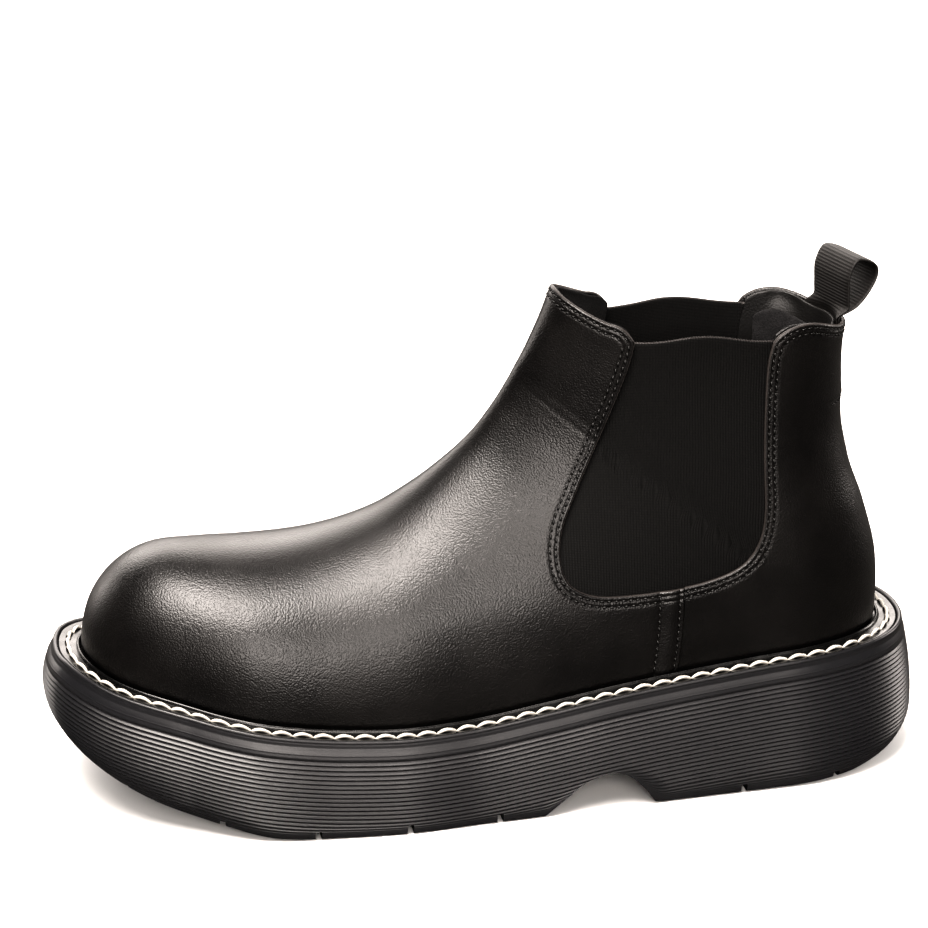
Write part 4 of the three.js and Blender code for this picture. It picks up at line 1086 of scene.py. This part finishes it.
def makeGore(side, name, node):
    low, high, first, last = goreEdges()
    count = int((last - first) / gore["ribPitch"]) * gore["samples"]
    x = np.linspace(first + 0.6, last - 0.6, count + 1)
    z = np.stack([lerp(low(x) + 0.3, high(x), r) for r in 1 - np.linspace(1, 0, gore["rows"]) ** 1.6])
    z = np.maximum(z, z[0] + 0.02 * np.arange(gore["rows"])[:, None])
    gridX = np.broadcast_to(x, z.shape)
    points, normals = onSkin(gridX, z, side)
    ribs = gore["ribDepth"] * (0.5 - 0.5 * np.cos(2 * math.pi * (gridX - first) / gore["ribPitch"]))
    toTop = high(x)[None, :] - z
    edge = rolled(toTop, boot["middle"] / 2)
    outer = points - normals * (middleFrom + ribs + edge)[..., None]
    back = points - normals * (middleFrom + boot["middle"] - ribs * 0.5 - edge)[..., None]
    rows, columns = z.shape
    n = rows * columns
    faces = gridFaces(rows, columns)
    faces += [tuple(i + n for i in reversed(f)) for f in faces]
    rim = ([(0, c) for c in range(columns)] + [(r, columns - 1) for r in range(1, rows)]
           + [(rows - 1, c) for c in range(columns - 2, -1, -1)] + [(r, 0) for r in range(rows - 2, 0, -1)])
    loop = [r * columns + c for r, c in rim]
    faces += [(a, b, b + n, a + n) for a, b in zip(loop, loop[1:] + loop[:1])]
    piece = addObject(name, np.concatenate([outer.reshape(-1, 3), back.reshape(-1, 3)]), faces)
    settle(piece, "elastic", node)
    # painted highlight: a lighter band along the elastic's top edge
    paintFaces(piece, finishes["edge"], lambda x, z: z > high(x) - gore["topHighlightWidth"])


makeGore(-1.0, "outer_elastic", "outer_gore")
makeGore(1.0, "inner_elastic", "inner_gore")
print("elastic panels made")

# Stitching of the upper
seams = {"pitch": 2.6, "thread": 0.78, "cover": 0.8, "rise": 0.16, "sink": 0.45, "sides": 6, "rings": 7,
         "slant": 0.3}
rowLift = -upper["rowDip"] * 0.6  # the rows lie in their dips


def sewn(points, normals, lift):
    return stitchRow(points + normals * lift, normals, **seams)


def aroundLeg(v, lowest, under):  # the line round the leg above which a test of surface points fails
    low, high = np.full(v.shape, lowest), np.full(v.shape, float(lastSection))
    for _ in range(30):
        middle = (low + high) / 2
        inside = under(skinAt(middle, v))
        low, high = np.where(inside, middle, low), np.where(inside, high, middle)
    return skinAt(low, v), skinNormals(low, v)


def goreRow(distance, side):
    line = offsetLine(gorePath, distance)
    line = line[rimField(line[:, 0], line[:, 1]) > distance - 0.06]
    points, normals = onSkin(line[:, 0], line[:, 1], side)
    return sewn(points, normals, rowLift)


def collarRow(field, distance, corner, towards):  # once round the front or the back of the leg
    v = np.linspace(-1, 1, 241) if towards < 0 else np.linspace(0.0, 2.0, 241)
    points, normals = aroundLeg(v, 7.0, lambda p: field(p[:, 0], p[:, 2]) > distance)
    rim = rimField(points[:, 0], points[:, 2])
    keep = (rim > distance - 0.06) & ((points[:, 0] - corner) * towards > 0)
    return sewn(points[keep], normals[keep], rowLift)


def seamRow(ahead, side):
    start = seamAt(seamTop) - ahead
    lowerEdge = gorePath[gorePath[:, 1] <= 100]
    above = lowerEdge[np.argmin(np.abs(lowerEdge[:, 0] - start))][1]
    z = np.linspace(above - edgeRows[1] - 1.4, feather(start) + 1.5, 16)
    points, normals = onSkin(seamAt(z) - ahead, z, side)
    lift = upper["overlap"] * (1 - smooth(ahead, 0, upper["overlapWidth"]))
    return sewn(points, normals, float(lift + rowLift))


def tackRow():
    row = tackHeight - tack["rowBelow"]
    points, normals = aroundLeg(np.linspace(0.6, 1.4, 121), 5.0, lambda p: p[:, 2] < row)
    keep = points[:, 0] > backLine(tackHeight) - tack["reach"] + 3
    return sewn(points[keep], normals[keep], -0.2)


black = ("blackThread", "black_thread")
for side, word in ((-1.0, "outer"), (1.0, "inner")):
    goreRows = [goreRow(distance, side) for distance in edgeRows]
    stitchPiece(f"{word}_elastic_thread", goreRows, *black, f"{word}_gore_stitching")
    seamRows = [seamRow(distance, side) for distance in upper["seamRows"]]
    stitchPiece(f"{word}_seam_thread", seamRows, *black, f"{word}_seam_stitching")
frontRows = [collarRow(frontField, distance, gorePath[0, 0], -1) for distance in edgeRows]
stitchPiece("collar_front_thread", frontRows, *black, "collar_front_stitching")
backRows = [collarRow(rearField, distance, gorePath[-1, 0], 1) for distance in edgeRows]
stitchPiece("collar_back_thread", backRows, *black, "collar_back_stitching")
stitchPiece("back_tack_thread", [tackRow()], *black, "back_tack_stitching")
print("stitching made")

# Footbed: moulded foam with a cloth cover, a little dished
footbed = {"thickness": 4.5, "boardThickness": 2.2, "stations": 90, "margin": 1.2, "crown": 0.5, "edge": 1.2}


def makeFootbed():
    base = footbed["boardThickness"] + 2 * boot["gap"]
    inset = boot["weltShow"] + insideFrom + footbed["margin"]
    bottom = lambda x: feather(x) + base
    top = lambda x: feather(x) + base + footbed["thickness"] - 0.3
    rings = [planPoints(inset + 0.3, bottom, footbed["stations"])]
    for turn in np.linspace(0, math.pi / 2, 6):
        fall = footbed["edge"] * (1 - math.sin(turn))
        rings.append(planPoints(inset + footbed["edge"] * (1 - math.cos(turn)),
                                lambda x, fall=fall: top(x) - fall, footbed["stations"]))
    steps = (4, 8, 14, 20, 26)
    for step in steps:
        dish = footbed["crown"] * math.sin(step / steps[-1] * math.pi / 2)
        rings.append(planPoints(inset + footbed["edge"] + step, lambda x, dish=dish: top(x) - dish,
                                footbed["stations"]))
    piece = ringPiece("footbed_foam", rings, footbed["stations"])
    settle(piece, "foam", "footbed")


makeFootbed()
print("footbed made")

# Pull tab: one tape, sewn in between leather and facing, turned over in a loop
def tabPath():
    top = collarRear[-1, 1]
    baseX = float(backLine(top)) - middleFrom - boot["middle"] / 2
    baseZ = top + tab["rise"]
    t, g, h = tab["thickness"], tab["gap"], tab["height"] - tab["rise"]
    tail = [(float(backLine(top - drop)) - middleFrom - boot["middle"] / 2 - baseX, -drop - tab["rise"])
            for drop in (tab["tail"], 16, 8, 3, 0.5)]
    loop = [(-t * 0.55, h * 0.1), (-t * 0.5 - 0.4, h * 0.4), (-t * 0.5 - 0.3, h * 0.7),
            (t * 0.9 + g * 0.05, h * 0.95), (g * 0.55, h - t * 0.5), (g + t * 0.7, h * 0.84),
            (g + t * 0.8, h * 0.62), (g * 0.62 + t * 0.4, h * 0.32), (t * 0.75, h * 0.08), (t * 0.5, -0.6),
            (t * 0.42, -3.5)]
    return tail + loop, baseX, baseZ


def makePullTab():
    points, baseX, baseZ = tabPath()
    line = spline(points, 1200)
    length = lengthAlong(line)
    count = int(length[-1] / tab["ribPitch"]) * 4
    at = np.linspace(0, length[-1], count + 1)
    line = np.stack([np.interp(at, length, line[:, k]) for k in (0, 1)], axis=1)
    along = np.gradient(line, axis=0)
    along /= np.linalg.norm(along, axis=1)[:, None]
    outward = np.stack([-along[:, 1], along[:, 0]], axis=1)
    inLoop = smooth(line[:, 1], -1.5, 1.5)
    thinned = 1 - 0.35 * smooth(at, length[-1] - 6, length[-1])  # towards the turned-in end
    thick = lerp(tab["sewnThickness"], tab["thickness"], inLoop) * thinned
    ribs = tab["ribDepth"] * (0.5 - 0.5 * np.cos(2 * math.pi * at / tab["ribPitch"])) * inLoop
    across = np.array([-0.5, -0.47, -0.4, -0.27, -0.13, 0, 0.13, 0.27, 0.4, 0.47, 0.5])
    edge = np.array([0.45, 0.85, 1, 1, 1, 1, 1, 1, 1, 0.85, 0.45])  # share of the thickness
    rise = smooth(line[:, 1], -1, 3.5)  # the sewn end follows the round of the leg
    turn = math.radians(tab["twist"]) * rise
    wall = legHalf - middleFrom
    rings = []
    for k in range(len(line)):
        section = []
        for face in (1, -1):
            order = range(len(across)) if face > 0 else range(len(across) - 1, -1, -1)
            for i in order:
                off = face * (thick[k] / 2 * edge[i] - ribs[k] * (edge[i] > edge[0]))
                wide = across[i] * tab["width"]
                y = abs(tab["side"] + wide) / wall
                x = line[k, 0] + outward[k, 0] * off
                x -= (1 - rise[k]) * heelUpperRound * (1 - (1 - y**roundPower) ** (1 / roundPower))
                z = line[k, 1] + outward[k, 1] * off
                away, aside = math.cos(turn[k]), math.sin(turn[k])
                section.append((baseX + x * away - wide * aside,
                                tab["side"] * scaleY + x * aside + wide * away, baseZ + z))
        rings.append(section)
    columns = len(rings[0])
    faces = gridFaces(len(rings), columns, closed=True)
    faces += [tuple(range(columns)), tuple((len(rings) - 1) * columns + k for k in range(columns))]
    piece = addObject("webbing_tab", np.array(rings).reshape(-1, 3), faces)
    piece.data.materials.append(finishes["webbing"])
    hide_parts("pull_tab", "pull_tab_tail")
    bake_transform(piece)


makePullTab()
print("pull tab made")

# Floor, light and tones
studio = {
    "floor": "#e6e5e4", "paintedReflectionShade": "#302e2b", "ambient": 0.45, "mirror": 0.03, "backdrop": 1.0,
    "floorReach": 6, "lampColour": "#fff7f1",
    "lamps": {  # position, aim and size in metres, then watts
        "overhead": ((-0.34, -0.5, 1.4), (-0.05, 0, 0.08), (0.8, 0.8), 46),
        "front": ((-0.1, -1.5, 0.7), (-0.03, 0, 0.06), (0.9, 0.5), 17),
        "leftPanel": ((-1.3, 1.5, 0.4), (0, 0, 0.12), (0.7, 0.7), 6),
        "backWall": ((0.0, 2.0, 1.2), (0, 0, 0.1), (2.6, 1.4), 55),
        "heel": ((1.3, 0.4, 0.5), (0.1, 0, 0.08), (0.4, 0.6), 7),
    },
}


def addArea(name, position, aim, size, power):
    data = bpy.data.lights.new(name, "AREA")
    data.shape = "RECTANGLE"
    data.size, data.size_y = size
    data.energy = power
    data.color = linear(studio["lampColour"])[:3]
    lamp = bpy.data.objects.new(name, data)
    lamp.location = position
    lamp.rotation_euler = (Vector(aim) - Vector(position)).to_track_quat("-Z", "Y").to_euler()
    bpy.context.scene.collection.objects.link(lamp)


def addFloor():
    mesh = bpy.data.meshes.new("floor")
    reach = studio["floorReach"]
    corners = [(-reach, -reach, 0), (reach, -reach, 0), (reach, reach, 0), (-reach, reach, 0)]
    mesh.from_pydata(corners, [], [(0, 1, 2, 3)])
    floor = bpy.data.objects.new("floor", mesh)
    floor.location.z = -0.0002
    bpy.context.scene.collection.objects.link(floor)
    # coated paper sweep: even and matt to the camera, with a painted shade in reflections: glossy rays see it
    # dark, which keeps the leather's blacks deep
    paper, tree, shader, _ = newMaterial("paper_floor_shaded_in_reflections", studio["floor"], 0.9, {})
    mirrored = addNode(tree, "LightPath", {}, out="Is Glossy Ray")
    # painted shade: reflections of the floor take the dark colour
    tone = addNode(tree, "ValToRGB", {"Fac": mirrored}, colours=(studio["floor"], studio["paintedReflectionShade"]))
    setSockets(tree, shader, {"Base Color": tone})
    mesh.materials.append(paper)


def addWorld():
    world = bpy.data.worlds.new("studio")
    world.use_nodes = True
    tree = world.node_tree
    glossy = addNode(tree, "LightPath", {}, out="Is Glossy Ray")
    seen = addNode(tree, "LightPath", {}, out="Is Camera Ray")
    soft = addNode(tree, "MapRange", {
        "Value": glossy, "To Min": studio["ambient"], "To Max": studio["mirror"]})
    strength = addNode(tree, "MapRange", {"Value": seen, "To Min": soft, "To Max": studio["backdrop"]})
    setSockets(tree, tree.nodes["Background"], {"Color": (1, 1, 1, 1), "Strength": strength})
    bpy.context.scene.world = world
    bpy.context.scene.view_settings.view_transform = "Standard"
    bpy.context.scene.view_settings.look = "High Contrast"


addFloor()
addWorld()
for lampName, values in studio["lamps"].items():
    addArea(lampName, *values)
print("studio made")
